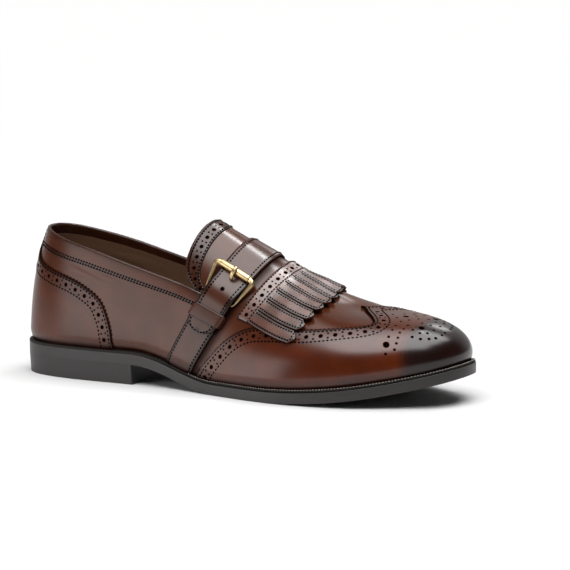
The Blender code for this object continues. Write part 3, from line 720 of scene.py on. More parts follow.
# rib, height share along the wing's edge, from the welt to the middle peak
wingEdge = [
    (0.4737, 0.012),
    (0.4745, 0.030),
    (0.4765, 0.075),
    (0.4790, 0.120),
    (0.4825, 0.183),
    (0.4870, 0.236),
    (0.4960, 0.293),
    (0.5120, 0.348),
    (0.5340, 0.384),
    (0.5580, 0.410),
    (0.5840, 0.430),
    (0.6100, 0.448),
    (0.6360, 0.464),
    (0.6600, 0.480),
    (0.6860, 0.495),
    (0.7100, 0.508),
    (0.7350, 0.519),
    (0.7550, 0.536),
    (0.7700, 0.562),
    (0.7800, 0.606),
    (0.7860, 0.680),
    (0.7930, 0.760),
    (0.8050, 0.840),
    (0.8300, 0.905),
    (0.8700, 0.950),
    (0.9200, 0.978),
    (0.9600, 0.992),
    (1.0000, 1.000),
]

# rib, height share along the counter's edge, from the welt to the back of the collar
counterEdge = [
    (0.330, 0.014),
    (0.327, 0.040),
    (0.318, 0.095),
    (0.304, 0.155),
    (0.288, 0.204),
    (0.268, 0.232),
    (0.240, 0.253),
    (0.205, 0.265),
    (0.167, 0.275),
    (0.125, 0.288),
    (0.085, 0.308),
    (0.050, 0.340),
    (0.030, 0.372),
    (0.018, 0.410),
    (0.000, 0.415),
]

wingLook = {
    "thick": 1.35,
    "rows": 72,
    "seams": (1.9, 8.9),  # inside the edge
    "brogueLine": 5.3,
    "brogue": {"pitch": 8.8, "big": 1.05, "small": 0.50, "spread": 1.6, "skip": 5.0},
}
counterLook = {
    "thick": 1.15,
    "rows": 56,
    "seams": (1.7, 8.2),
    "brogueLine": 4.9,
    "brogue": {"pitch": 8.0, "big": 1.0, "small": 0.48, "spread": 1.5, "skip": 5.0},
}

# edge of both overlays: teeth, cut side and shades by distance from the edge
gimpLook = {
    "pitch": 2.6,
    "tooth": 0.75,
    "toothSteps": 6,
    "edgeSteps": 3000,
    "rowSpacing": 0.92,
    "lowest": 0.004,
    "stitch": 2.5,
    "lip": (0.98, 0.75, 0.3, -0.2),  # heights of the cut side, in thicknesses
    "chamfer": 0.18,
    # the cut side's colour: dark edge colour and painted shadow under the teeth
    "lipShade": 0.95,
    "nearShade": (0.65, 0.3, 3.0),  # share, full at, gone at
    "wideShade": (0.25, 8.0, 16.0),
    "dull": (0.9, 0.5, 2.2),
}


# a share that fades out between two distances
def fade(distance, share, full, gone):
    return share * (1 - ease(full, gone, distance))


# edge table read at even steps of its own length on the skin, a few to a tooth
def evenEdge(table, side):
    order = [(i, row[0], row[1]) for i, row in enumerate(table)]
    fine = np.linspace(0, len(table) - 1, gimpLook["edgeSteps"])
    rib, level = np.clip(curve(order, 1, fine), 0, 1), np.clip(curve(order, 2, fine), 0, 1)
    p = skin(rib, level, side)
    length = np.concatenate([[0], np.cumsum(np.linalg.norm(np.diff(p, axis=0), axis=1))])
    count = gimpLook["toothSteps"] * round(length[-1] / gimpLook["pitch"]) + 1
    at = np.linspace(0, length[-1], count)
    return np.interp(at, length, rib), np.interp(at, length, level)


# overlay: columns rise from the welt to the edge line; the last rows make the cut edge,
# moved in and out by a triangle wave for the teeth
def makeOverlay(name, table, look, material, trim):
    t = np.linspace(0, 1, look["rows"]) ** gimpLook["rowSpacing"]
    halves = []
    for side in (-1, 1):
        rib, level = evenEdge(table, side)
        lev = gimpLook["lowest"] + (level - gimpLook["lowest"])[None] * t[:, None]
        halves.append(skin(rib[None] + 0 * lev, lev, side))
    base = np.concatenate([halves[0], halves[1][:, -2::-1]], axis=1)
    normal = gridNormals(base)
    along = unit(np.gradient(base[-1], axis=0))
    away = unit(np.cross(normal[-1], along))
    if np.sum(away * (base[-1] - base[-6])) < 0:
        away = -away
    half = gimpLook["toothSteps"] / 2
    wave = np.abs(np.arange(base.shape[1]) % gimpLook["toothSteps"] - half) / (half / 2) - 1
    edge = base[-1] + away * (wave * gimpLook["tooth"])[:, None]
    body = base[:-1] + normal[:-1] * look["thick"]
    lip = np.array([edge + normal[-1] * look["thick"] * f for f in gimpLook["lip"]])
    lip[0] -= away * gimpLook["chamfer"]
    points = np.concatenate([body, lip])
    gap = np.linalg.norm(base - base[-1:], axis=-1)[:-1]
    shade = fade(gap, *gimpLook["nearShade"]) + fade(gap, *gimpLook["wideShade"])
    # cut side dark: edge colour and painted shadow under the gimped edge
    shade = np.concatenate([shade, np.full(lip.shape[:2], gimpLook["lipShade"])])
    dull = np.concatenate([fade(gap, *gimpLook["dull"]), np.ones(lip.shape[:2])])
    trim["edge"] = base[-1] + normal[-1] * look["thick"]
    trim["away"] = away
    trim["points"], trim["normals"] = body.reshape(-1, 3), normal[:-1].reshape(-1, 3)
    colours = patinaAndShade(points, shade)
    return addGrids(name, [points], [material, cutLeather], [colours], lip=len(lip), dull=dull)


# nearest grid point, then slid onto its tangent plane
def settle(q, trim):
    k = nearest(q, trim["points"])[1]
    base, n = trim["points"][k], trim["normals"][k]
    return q - n * ((q - base) * n).sum(-1, keepdims=True), n


# lines a given distance inside an overlay's edge, left out where another stretch of edge is closer
def insideEdge(trim, distance):
    closest = 0.93 * distance
    shortest = 12  # points
    q = trim["edge"] - trim["away"] * distance
    keep = nearest(q, trim["edge"])[0] > closest
    q, n = settle(q, trim)
    cuts = np.nonzero(np.diff(keep.astype(int)))[0] + 1
    runs = zip(np.split(q, cuts), np.split(n, cuts), np.split(keep, cuts))
    return [(line, normals) for line, normals, good in runs if good[0] and len(line) > shortest]


# two seams inside an overlay's edge, with a brogue row between them
def trimOverlay(look, trim):
    for distance in look["seams"]:
        for line, normals in insideEdge(trim, distance):
            addThread(line, normals, gimpLook["stitch"])
    for line, normals in insideEdge(trim, look["brogueLine"]):
        brogueRow(line, normals, look["brogue"])


wingTrim = {}
place(makeOverlay("wingCap", wingEdge, wingLook, wingLeather, wingTrim), "wing_cap")
trimOverlay(wingLook, wingTrim)
print("wing cap done")

# vamp and tongue

# back edge of the tongue: height share, rib
tongueTable = [
    (0.000, 0.426),
    (0.120, 0.426),
    (0.240, 0.426),
    (0.330, 0.426),
    (0.364, 0.4235),
    (0.395, 0.412),
    (0.441, 0.394),
    (0.494, 0.384),
    (0.579, 0.378),
    (0.692, 0.375),
    (0.822, 0.3745),
    (0.930, 0.3755),
    (1.000, 0.376),
]

vampLook = {
    "wall": 2.2,
    "rows": 100,
    "rowSpacing": 0.9,
    "columns": 150,
    "columnSpacing": 1.15,  # power, above 1 closer to the tongue
    "rimColumns": 7,
    "innerColumns": 16,
    "innerRib": 0.14,  # how far the inside goes forward
    "liningColumns": 13,
    "edgeColumns": 30,
    "edgeShade": 0.45,
    # painted shadow under the wing's edge on the vamp
    "paintedSeamShade": (0.9, 1.35, 2.2),  # next to the wing: share, full at, gone at
    # painted shadow of the strap on the vamp, forward of its front edge
    "strapFront": 0.4650,
    "strapShadow": 0.0145,  # ribs, forward of the strap
    "strapUnder": (-1.2, -0.4),  # begins under the strap, in lengths of the shadow
    "paintedStrapShadow": 0.9,
}


# rows cross the foot from welt to welt, columns run from under the tongue round its edge to the toe;
# painted shadow, dark and without coat, next to the wing's edge and in front of the strap
def makeVamp(look, trim):
    level = np.linspace(0, 1, look["rows"])[:, None] ** look["rowSpacing"]
    start = curve(tongueTable, 1, level)
    forward = np.linspace(0, 1, look["columns"])[None] ** look["columnSpacing"]
    outerRib = start + (1 - start) * forward
    innerRib = start + np.linspace(look["innerRib"], 0, look["innerColumns"])[None]
    angle = np.linspace(np.pi, 0, look["rimColumns"] + 2)[None, 1:-1, None]
    halves = []
    for side in (-1, 1):
        sheet = skin(outerRib, level, side)
        inside = raised(innerRib, level + 0 * innerRib, side, 0 * innerRib - look["wall"])
        normal = outward(start, level, side)
        back = unit(sheet[:, :1] - sheet[:, 2:3])
        rim = rimArc((sheet[:, :1] + inside[:, -1:]) / 2, look["wall"] / 2, normal, back, angle)
        halves.append(np.concatenate([inside, rim, sheet], axis=1))
    points = np.concatenate([halves[0], halves[1][-2::-1]], axis=0)
    quads = cells(*points.shape[:2])
    n = np.cross(np.gradient(points, axis=1), np.gradient(points, axis=0))
    outside = look["innerColumns"] + look["rimColumns"]
    if np.sum((n * fromFootLine(points))[:, outside:]) < 0:
        quads = quads[:, ::-1]
    gap = nearest(points.reshape(-1, 3), trim["edge"][::2])[0].reshape(points.shape[:2])
    ribs = np.concatenate([innerRib, np.repeat(start, look["rimColumns"], axis=1), outerRib], axis=1)
    ahead = (np.concatenate([ribs, ribs[-2::-1]]) - look["strapFront"]) / look["strapShadow"]
    # painted shadow in front of the strap, none under it
    paintedStrapShadow = fade(ahead, look["paintedStrapShadow"], 0.0, 1.0) * ease(*look["strapUnder"], ahead)
    # painted shadow under the wing's edge and of the strap, dark and without coat
    dull = np.maximum(fade(gap, *look["paintedSeamShade"]), paintedStrapShadow)
    shade = dull.copy()
    shade[:, :look["edgeColumns"]] = look["edgeShade"]
    lined = np.tile(np.arange(points.shape[1] - 1) < look["liningColumns"], points.shape[0] - 1)
    return addMesh("vampTongue", points, quads, [upperLeather, lining], patinaAndShade(points, shade),
                   lined.astype(int), dull)


place(makeVamp(vampLook, wingTrim), "upper")
print("vamp done")

counterTrim = {}
heelCounter = makeOverlay("heelCounter", counterEdge, counterLook, upperLeather, counterTrim)
place(heelCounter, "counter")
trimOverlay(counterLook, counterTrim)
print("counter done")

# cut leather sheets: a top over the skin, with its sides going down to a low line


# grid of the top with two more rings round its border, part of the way down and down to low
def cutSheet(rib, run, top, low):
    shoulder = 0.35  # how far down the first ring goes
    rib, run, top, low = (np.pad(a, 2, mode="edge") for a in (rib, run, top, low))
    lift = low.copy()
    lift[1:-1, 1:-1] = (top - shoulder * (top - low))[1:-1, 1:-1]
    lift[2:-2, 2:-2] = top[2:-2, 2:-2]
    return overFoot(rib, run, lift)


# shade of a sheet's top, with one value on the two rings of its cut sides
def cutShade(shade, sides):
    return np.pad(shade, 2, constant_values=sides)


# rounds the top of a sheet down by up to soften near its border
def softBorder(lift, distance, soften, width):
    return lift - soften * (1 - ease(0, width, distance)) ** 2


# gaussian groove a given distance inside a border
def groove(distance, depth, at, width):
    return depth * np.exp(-((distance - at) / width) ** 2)


# distance to the nearest of the given lines of a grid
def lineDistance(p, edges):
    return np.minimum.reduce([np.linalg.norm(p - e, axis=-1) for e in edges])


# distance to the two long sides
def sideDistance(p):
    return lineDistance(p, (p[:, :1], p[:, -1:]))


# distance to all four sides; points next to a joined side count as far inside
def borderDistance(p, joined=None):
    distance = lineDistance(p, (p[:1], p[-1:], p[:, :1], p[:, -1:]))
    if joined is None:
        return distance
    farInside = 9.0
    return np.where(distance > np.linalg.norm(p - joined, axis=-1) - 1e-6, farInside, distance)


# line a little over the top of a sheet, with the directions away from the foot
def lineOver(rib, run, top, over):
    line = overFoot(rib, run, top + over)
    return line, unit(overFoot(rib, run, top + 1.0) - line)


# strap, base panel, keeper

strapLook = {
    "back": 0.4235,
    "front": 0.4645,
    "thick": 1.5,
    "columns": 26,
    "body": (0.02, 1.726, 236),  # run from, run to, rows
    "tip": (1.731, 1.782, 24),
    "roundFrom": 1.738,
    "soft": (0.55, 2.2),
    "seamGroove": (0.16, 2.2, 0.5),
    "seamColumns": (3, -4),
    "threadOver": 0.04,
    "sidesDown": 0.1,
    "shadeRuns": (1.34, 1.46),  # darker edges from the buckle on
    "shade": (0.42, 0.50),
    "shadeWide": (0.4, 4.2),
    "sidesShade": 0.85,
}

# run across the foot, lift of the strap's low side
strapLift = [
    (0.02, 0.3),
    (0.60, 0.3),
    (1.00, 0.3),
    (1.30, 0.3),
    (1.40, 0.4),
    (1.441, 0.75),
    (1.470, 1.25),
    (1.507, 2.10),
    (1.546, 2.75),
    (1.580, 2.90),
    (1.615, 2.60),
    (1.649, 2.10),
    (1.698, 1.95),
    (1.787, 1.95),
]

baseLook = {
    "back": 0.4225,
    "front": 0.4630,
    "levels": (0.004, 0.382, 70),  # height from, height to, rows
    "columns": 24,
    "low": 0.2,
    "thick": 1.2,
    "soft": (0.4, 2.0),
    "seamGroove": (0.14, 1.9, 0.5),
    "seamColumns": (2, -3),
    "threadOver": 0.04,
    "sidesDown": 0.3,
    "shade": (0.85, 0.5, 4.0),
    "sidesShade": 0.95,
}

keeperLook = {
    "back": 0.4203,
    "front": 0.4674,
    "levels": (0.275, 0.345, 18),
    "steps": 40,
    "squareness": 0.35,
    "low": 0.1,
    "high": 4.15,
    "thick": 1.2,
    "edgeDown": 0.12,
    "shade": 0.6,
    "shadeRows": 3.0,
    "sidesShade": 1.0,
}


# band over the foot; its width ends in half an ellipse, its low side follows the lift table
def makeStrap(look):
    run = np.concatenate([np.linspace(*look["body"]), np.linspace(*look["tip"])])[:, None]
    past = np.clip((run - look["roundFrom"]) / (look["tip"][1] - look["roundFrom"]), 0, 1)
    share = np.sqrt(np.clip(1 - past ** 2, 0.0004, 1))  # the tip never quite closes
    middle, half = (look["back"] + look["front"]) / 2, (look["front"] - look["back"]) / 2
    rib = middle + half * np.linspace(-1, 1, look["columns"])[None] * share
    low = curve(strapLift, 1, run) + 0 * rib
    run = run + 0 * rib
    distance = borderDistance(overFoot(rib, run, low))
    top = softBorder(low + look["thick"], distance, *look["soft"])
    points = cutSheet(rib, run, top - groove(distance, *look["seamGroove"]), low - look["sidesDown"])
    least, more = look["shade"]
    shade = (least + more * ease(*look["shadeRuns"], run)) * (1 - ease(*look["shadeWide"], distance))
    colours = patinaAndShade(points, cutShade(shade, look["sidesShade"]), "strap")
    for k in look["seamColumns"]:
        addThread(*lineOver(rib[:, k], run[:, k], top[:, k], look["threadOver"]))
    return addGrids("strap", [points], [strapLeather, cutLeather], [colours], cut=2)


# panel between two ribs from the welt up to under the strap's end
def makeBase(look):
    level = np.linspace(*look["levels"])[:, None]
    width = look["front"] - look["back"]
    rib = (look["back"] + width * np.linspace(0, 1, look["columns"]))[None] + 0 * level
    run = 2 - level + 0 * rib
    low = look["low"] + 0 * rib
    sides = sideDistance(overFoot(rib, run, low))
    top = softBorder(low + look["thick"], sides, *look["soft"]) - groove(sides, *look["seamGroove"])
    points = cutSheet(rib, run, top, low - look["sidesDown"])
    colours = patinaAndShade(points, cutShade(fade(sides, *look["shade"]), look["sidesShade"]), "strap")
    for k in look["seamColumns"]:
        addThread(*lineOver(rib[:, k], run[:, k], top[:, k], look["threadOver"]))
    return addGrids("strapBase", [points], [strapLeather, cutLeather], [colours], cut=2)


# keeper: rounded bracket section over the strap, a cosine and a sine to a small power, swept up the foot
def makeKeeper(look):
    angle = np.linspace(np.pi, 0, look["steps"])
    across = np.sign(np.cos(angle)) * np.abs(np.cos(angle)) ** look["squareness"]
    height = np.abs(np.sin(angle)) ** look["squareness"]
    middle, half = (look["back"] + look["front"]) / 2, (look["front"] - look["back"]) / 2
    level = np.linspace(*look["levels"])[:, None]
    rib = (middle + half * across)[None] + 0 * level
    rows = np.arange(len(level))
    inside = np.minimum(rows, rows[::-1])[:, None] + 0 * rib
    lift = (look["low"] + look["high"] * height)[None] - look["edgeDown"] * np.clip(1 - inside, 0, 1)
    points = cutSheet(rib, 2 - level + 0 * rib, lift, lift - look["thick"])
    shade = look["shade"] * np.clip(1 - inside / look["shadeRows"], 0, 1)
    colours = patinaAndShade(points, cutShade(shade, look["sidesShade"]), "strap")
    return addGrids("keeper", [points], [strapLeather, cutLeather], [colours], cut=2)


place(makeStrap(strapLook), "strap")
place(makeBase(baseLook), "strap_base")
place(makeKeeper(keeperLook), "keeper")
print("strap done")

# kiltie

kiltieLook = {
    "back": 0.4790,
    "root": 0.5010,
    "low": 0.378,
    "sag": 0.070,
    "thick": 1.35,
    "lift": 0.35,
    "overWing": 1.5,  # further lift past the wing's edge
    "overWingWay": (0.0, 0.45),  # share of a strip's length
    "tipWay": (0.3, 1.0),
    "threadOver": 0.05,
    "band": {
        "rows": 26,
        "columns": 240,
        "pastRoot": 0.003,
        "soft": (0.45, 1.8),
        "sidesDown": 0.2,
        "shade": (0.5, 0.2, 2.0),
        "sidesShade": 0.85,
        "seamRows": (3, -4),
        "holeRow": 13,
        "holesOver": 0.04,
        "brogue": {"pitch": 7.6, "big": 0.95, "small": 0.46, "spread": 1.4, "skip": 4.0},
    },
    "strips": {
        "count": 13,
        "rows": 60,
        "columns": 20,
        "slit": 0.048,
        "pointLength": 0.10,
        "pointWidth": 0.16,
        "curl": 0.15,
        "curlTurn": 2.4,  # radians from strip to strip
        "curlWay": (0.5, 1.0),
        "moreThick": 0.1,
        "soft": (0.15, 0.5),
        "seamGroove": (0.10, 1.1, 0.4),
        # painted shade in the stitch grooves: depth, place, width
        "paintedSeamShade": (0.92, 1.0, 0.9),
        "tipShade": 0.2,
        "tipShadeWay": (0.6, 1.0),
        "sidesShade": 0.55,
        "seam": (2, 55, 3, 16),  # first row, last row, left column, right column
        "stitch": 2.0,
    },
}

# share across, tip rib, tip lift
stripTips = [
    (0.00, 0.606, 2.0),
    (0.08, 0.613, 2.1),
    (0.17, 0.619, 2.3),
    (0.25, 0.629, 2.5),
    (0.33, 0.636, 2.6),
    (0.42, 0.640, 2.6),
    (0.50, 0.634, 2.4),
    (0.58, 0.612, 2.1),
    (0.65, 0.598, 2.0),
    (0.73, 0.590, 2.0),
    (0.81, 0.587, 2.0),
    (0.92, 0.587, 2.0),
    (1.00, 0.585, 2.0),
]


# share across the kiltie to the run over the foot, sagging a little towards the tips
def kiltieRun(share, way, look):
    fromLow = np.minimum(share, 1 - share) * 2
    level = look["low"] + (1 - look["low"]) * fromLow - look["sag"] * way * (1 - fromLow)
    return np.where(share < 0.5, 2 - level, level)


# low side of a strip: flat on the vamp at the band, over the wing's edge, then up or down to the tip
def stripLow(way, tipLift, look):
    over = look["lift"] + look["overWing"] * ease(*look["overWingWay"], way)
    return over + (tipLift - look["lift"] - look["overWing"]) * ease(*look["tipWay"], way)


# rows and columns of a line down one side of a strip, round its tip and up the other side
def tipLine(first, last, left, right):
    down, across = np.arange(first, last + 1), np.arange(left + 1, right)
    rows = np.concatenate([down, np.full(len(across), last), down[::-1]])
    columns = np.concatenate([np.full(len(down), left), across, np.full(len(down), right)])
    return rows, columns


# band across the foot with two seams and a brogue row; gives its points and colours
def kiltieBand(look):
    band = look["band"]
    share = np.linspace(0, 1, band["columns"])[None]
    rib = np.linspace(look["back"], look["root"] + band["pastRoot"], band["rows"])[:, None] + 0 * share
    run = kiltieRun(share, 0.0, look) + 0 * rib
    low = look["lift"] + 0 * rib
    flat = overFoot(rib, run, low)
    distance = borderDistance(flat, flat[-1:])
    top = softBorder(low + look["thick"], distance, *band["soft"])
    points = cutSheet(rib, run, top, low - band["sidesDown"])
    for k in band["seamRows"]:
        addThread(*lineOver(rib[k], run[k], top[k], look["threadOver"]))
    k = band["holeRow"]
    brogueRow(*lineOver(rib[k], run[k], top[k], band["holesOver"]), band["brogue"])
    shade = cutShade(fade(distance, *band["shade"]), band["sidesShade"])
    return points, patinaAndShade(points, shade, "kiltie")


# strip from the band to its tip; its width closes over the last part, a seam runs round it
def kiltieStrip(number, look):
    strips = look["strips"]
    middle = (number + 0.5) / strips["count"]
    tip, tipLift = float(curve(stripTips, 1, middle)), float(curve(stripTips, 2, middle))
    way = np.linspace(0, 1, strips["rows"])[:, None]
    across = np.linspace(-1, 1, strips["columns"])[None]
    closing = np.clip((1.0 - way) / strips["pointLength"], 0, 1)
    wide = closing * (1 - strips["pointWidth"]) + strips["pointWidth"]
    rib = look["root"] + (tip - look["root"]) * way + 0 * across
    run = kiltieRun(middle + across * wide * (0.5 - strips["slit"]) / strips["count"], way, look)
    curl = strips["curl"] * math.sin(number * strips["curlTurn"]) * ease(*strips["curlWay"], way)
    low = stripLow(way, tipLift, look) + curl + 0 * across
    flat = overFoot(rib, run, low)
    distance = borderDistance(flat, flat[:1])
    top = softBorder(low + look["thick"] + strips["moreThick"], distance, *strips["soft"])
    top = top - groove(distance, *strips["seamGroove"])
    points = cutSheet(rib, run, top, low)
    at = tipLine(*strips["seam"])
    addThread(*lineOver(rib[at], run[at], top[at], look["threadOver"]), strips["stitch"])
    tipShade = strips["tipShade"] * ease(*strips["tipShadeWay"], way)
    # painted shade in the stitch grooves, and darker tips
    shade = groove(distance, *strips["paintedSeamShade"]) + tipShade
    return points, patinaAndShade(points, cutShade(shade, strips["sidesShade"]), "kiltie")


# band and strips in one piece
def makeKiltie(look):
    sheets = [kiltieBand(look)]
    for number in range(look["strips"]["count"]):
        sheets.append(kiltieStrip(number, look))
    grids, colours = zip(*sheets)
    return addGrids("kiltie", grids, [kiltieLeather, cutLeather], colours, cut=2)


place(makeKiltie(kiltieLook), "kiltie")
print("kiltie done")

# brogued band along the tongue

bandLook = {
    "width": 0.0195,
    "fromEdge": 0.0012,
    "thick": 0.7,
    "lowest": 0.40,
    "rows": 219,
    "columns": 18,
    "soft": (0.3, 1.2),
    "seamColumns": (2, -3),
    "threadOver": 0.05,
    "holeColumn": 9,
    "holesOver": 0.04,
    "brogue": {"pitch": 7.2, "big": 0.95, "small": 0.46, "spread": 1.3, "skip": 3.0},
    "sidesDown": 0.3,
    "shade": 0.5,
    "edgeShade": (0.35, 0.2, 2.4),
    "sidesShade": 0.9,
}


# thin sheet that follows the tongue's back edge from one side to the other
def makeTongueBand(look):
    run = np.linspace(2 - look["lowest"], look["lowest"], look["rows"])[:, None]
    back = curve(tongueTable, 1, np.minimum(run, 2 - run))
    rib = back + look["fromEdge"] + look["width"] * np.linspace(0, 1, look["columns"])[None]
    run = run + 0 * rib
    low = 0 * rib
    sides = sideDistance(overFoot(rib, run, low))
    top = softBorder(low + look["thick"], sides, *look["soft"])
    points = cutSheet(rib, run, top, low - look["sidesDown"])
    for k in look["seamColumns"]:
        addThread(*lineOver(rib[:, k], run[:, k], top[:, k], look["threadOver"]))
    k = look["holeColumn"]
    brogueRow(*lineOver(rib[:, k], run[:, k], top[:, k], look["holesOver"]), look["brogue"])
    shade = cutShade(look["shade"] + fade(sides, *look["edgeShade"]), look["sidesShade"])
    return addGrids("tongueBand", [points], [upperLeather], [patinaAndShade(points, shade)])


place(makeTongueBand(bandLook), None)

# two rows of stitches under the collar, a little lower round the heel
collarSeam = {
    "drops": (0.055, 0.066),
    "ribs": (0.004, 0.4215, 160),  # from, to, points
    "lowerAtHeel": 0.25,
    "heelRib": 0.1,
    "over": 0.05,
}
for drop in collarSeam["drops"]:
    for side in (-1, 1):
        rib = np.linspace(*collarSeam["ribs"])
        lower = 1 + collarSeam["lowerAtHeel"] * ease(collarSeam["heelRib"], 0.0, rib)
        level = collarLevel(rib, side) - drop * lower
        addThread(raised(rib, level, side, collarSeam["over"] + collarLap(rib)), outward(rib, level, side))
print("tongue band and collar rows done")

# toe medallion: x in mm from the shoe's middle, distance off the medallion's axis, hole radius
medallionAxis = -3.5
medallion = [
    (110.0, 0.0, 1.35),
    (101.5, 0.0, 0.60),
    (118.0, 0.0, 0.60),
    (132.0, 0.0, 0.60),
    (106.5, 5.3, 0.60),
    (114.3, 5.5, 0.60),
    (111.0, 9.7, 0.60),
    (122.5, 5.0, 0.60),
    (127.5, 4.0, 0.60),
    (136.8, 4.0, 0.60),
    (131.2, 7.7, 0.60),
    (136.3, 7.8, 0.60),
    (124.6, 10.6, 1.30),
    (116.5, 12.2, 0.60),
    (110.2, 15.3, 0.60),
    (115.7, 16.3, 0.60),
    (120.8, 14.8, 0.60),
    (109.8, 19.4, 0.60),
    (114.6, 19.6, 0.60),
    (125.4, 15.1, 0.65),
    (129.2, 12.7, 0.65),
    (122.4, 19.3, 0.70),
    (127.2, 18.2, 0.70),
    (131.5, 15.5, 0.70),
    (134.5, 12.6, 0.70),
    (109.6, 24.3, 0.70),
    (114.8, 22.8, 0.65),
    (109.8, 28.3, 1.50),
    (115.1, 25.5, 0.65),
    (115.0, 28.0, 0.65),
    (110.7, 31.2, 0.65),
]


# nearest grid point in plan, higher ones first, then slid along its tangent plane to the place itself
def skinAt(x, y, trim):
    cloud = trim["points"]
    k = ((cloud[:, 0] - x) ** 2 + (cloud[:, 1] - y) ** 2 - 0.12 * cloud[:, 2]).argmin()
    p, n = cloud[k], trim["normals"][k]
    rise = ((p[0] - x) * n[0] + (p[1] - y) * n[1]) / max(n[2], 0.2)
    return np.array([[x, y, p[2] + rise]]), n[None]


for along, off, radius in medallion:
    for sign in (-1, 1) if off else (1,):
        p, n = skinAt(centre[0] + along, centre[1] + medallionAxis + sign * off, wingTrim)
        addHoles(p, n, radius)
print("medallion done")

# sole

soleLook = {
    "columns": 260,
    "grooveFrom": 84.0,
    "grooveFull": 112.0,
    "heelColumns": 120,
    "breastColumns": 12,
    "underInset": 0.5,
}

weltSeam = {
    "ribs": (0.46, 0.999, 240),  # from, to, points
    "inset": 1.0,
    "over": 0.10,
    "step": 1.9,
    "skip": 0.5,
    "share": 0.52,
    "radius": 0.40,
}


# outlines stacked as rows: inset and height above the underside, both with a part added along the groove
def soleRows(rows, columns, last=1.0, level=None):
    rib = np.linspace(0, last, columns)
    along = ease(soleLook["grooveFrom"], soleLook["grooveFull"], soleEdge(rib, 1, 0.0)[0])
    grid = []
    for inset, moreInset, high, moreHigh in rows:
        ring = []
        for side in (-1, 1):
            x, y = soleEdge(rib, side, inset + moreInset * along)
            z = (soleBottom(x) if level is None else level + 0 * x) + high + moreHigh * along
            ring.append(np.stack([x, y, z], -1))
        grid.append(np.concatenate([ring[0][::-1], ring[1][1:]]))
    return np.array(grid)


# sheet between the two sides of one outline
def crossSheet(inset, columns, last=1.0, level=None, rows=9):
    rib = np.linspace(0, last, columns)
    x, a = soleEdge(rib, -1, inset)
    y = a + (soleEdge(rib, 1, inset)[1] - a) * np.linspace(0, 1, rows)[:, None]
    z = soleBottom(x) if level is None else level + 0 * x
    return np.stack([x + 0 * y, y, z + 0 * y], -1)


# side profiles carried round the outline: outsole, welt over a groove, and heel block with its breast;
# rows of inset, more inset, height, more height stand close at each corner to keep flat sides flat
def makeSole(look):
    n = look["columns"]
    high = shape["soleThick"]
    rim = high - shape["weltThick"]
    heelHigh = shape["heelHeight"]
    sideRows = [
        (0.10, 0.40, 0.0, 0.0),
        (0.04, 0.16, 0.0, 0.0),
        (0.01, 0.05, 0.05, 0.0),
        (0.0, 0.0, 0.2, 0.0),
        (0.0, 0.0, 0.45, 0.0),
        (0.0, 0.0, rim - 0.50, 0.0),
        (0.0, 0.03, rim - 0.30, 0.0),
        (0.0, 0.14, rim - 0.16, -0.02),
        (0.02, 0.32, rim - 0.10, -0.04),
        (0.06, 0.60, rim - 0.09, -0.05),
        (9.5, 0.0, rim - 0.09, -0.05),
    ]
    weltRows = [
        (0.06, 1.20, rim - 0.14, -0.02),
        (0.03, 1.20, rim - 0.09, 0.40),
        (0.01, 1.10, rim - 0.08, 0.48),
        (0.0, 0.62, rim - 0.07, 0.49),
        (0.0, 0.49, rim - 0.05, 0.51),
        (0.0, 0.44, rim, 0.54),
        (0.02, 0.42, rim + 0.70, 0.20),
        (0.05, 0.40, high - 0.35, 0.0),
        (0.14, 0.40, high - 0.15, 0.0),
        (0.40, 0.35, high - 0.02, 0.0),
        (0.80, 0.30, high, 0.0),
        (9.0, 0.0, high, 0.0),
    ]
    heelRows = [
        (1.4, 0.0, 0.0, 0.0),
        (1.0, 0.0, 0.0, 0.0),
        (0.86, 0.0, 0.05, 0.0),
        (0.8, 0.0, 0.2, 0.0),
        (0.77, 0.0, 0.6, 0.0),
        (0.04, 0.0, heelHigh - 0.6, 0.0),
        (0.0, 0.0, heelHigh, 0.0),
    ]
    outsole = addGrids("outsole", [soleRows(sideRows, n), crossSheet(look["underInset"], n)],
                       [soleEdgeDressing])
    welt = addGrids("welt", [soleRows(weltRows, n)], [shadedWeltDressing])
    last = math.acos(1 - 2 * shape["heelLength"] / shape["length"]) / math.pi
    block = soleRows(heelRows, look["heelColumns"], last, 0.0)
    under = crossSheet(heelRows[0][0], look["heelColumns"], last, 0.0)
    ends = np.stack([block[:, 0], block[:, -1]], 1)
    across = np.linspace(0, 1, look["breastColumns"])[None, :, None]
    breast = ends[:, :1] + (ends[:, 1:] - ends[:, :1]) * across
    heel = addGrids("heelBlock", [block, under, breast], [heelDressing])
    return outsole, welt, heel


outsole, welt, heel = makeSole(soleLook)
place(outsole, "outsole")
place(welt, "welt")
place(heel, "heel")
for side in (-1, 1):
    x, y = soleEdge(np.linspace(*weltSeam["ribs"]), side, weltSeam["inset"])
    line = np.stack([x, y, soleBottom(x) + shape["soleThick"] + weltSeam["over"]], -1)
    straightUp = np.zeros(line.shape) + np.array([0.0, 0.0, 1.0])
    addThread(line, straightUp, weltSeam["step"], weltSeam["skip"], weltThreads)

sockLook = {
    "back": 7.2,
    "length": 284.0,
    "thick": 2.6,
    "dish": 1.2,
    "columns": 160,
    "rows": 40,
    "sides": (0.05, 0.95),
}


# sock: sheet between the two sides of the feather line, its rim raised by the fourth power
def makeSock(look):
    rib = np.linspace(0, 1, look["columns"])
    a, b = feather(rib, -1), feather(rib, 1)
    t = np.linspace(*look["sides"], look["rows"])[:, None, None]
    p = a + (b - a) * t
    spread = look["length"] / (shape["length"] - shape["featherBack"] - shape["featherFront"])
    p[..., 0] = look["back"] + (p[..., 0] - shape["featherBack"]) * spread
    p[..., 2] += look["thick"] + look["dish"] * (2 * t[..., 0] - 1) ** 4
    return addGrids("sock", [p], [sockLeather], turn=False)


place(makeSock(sockLook), "insole")
print("sole and sock done")

# buckle

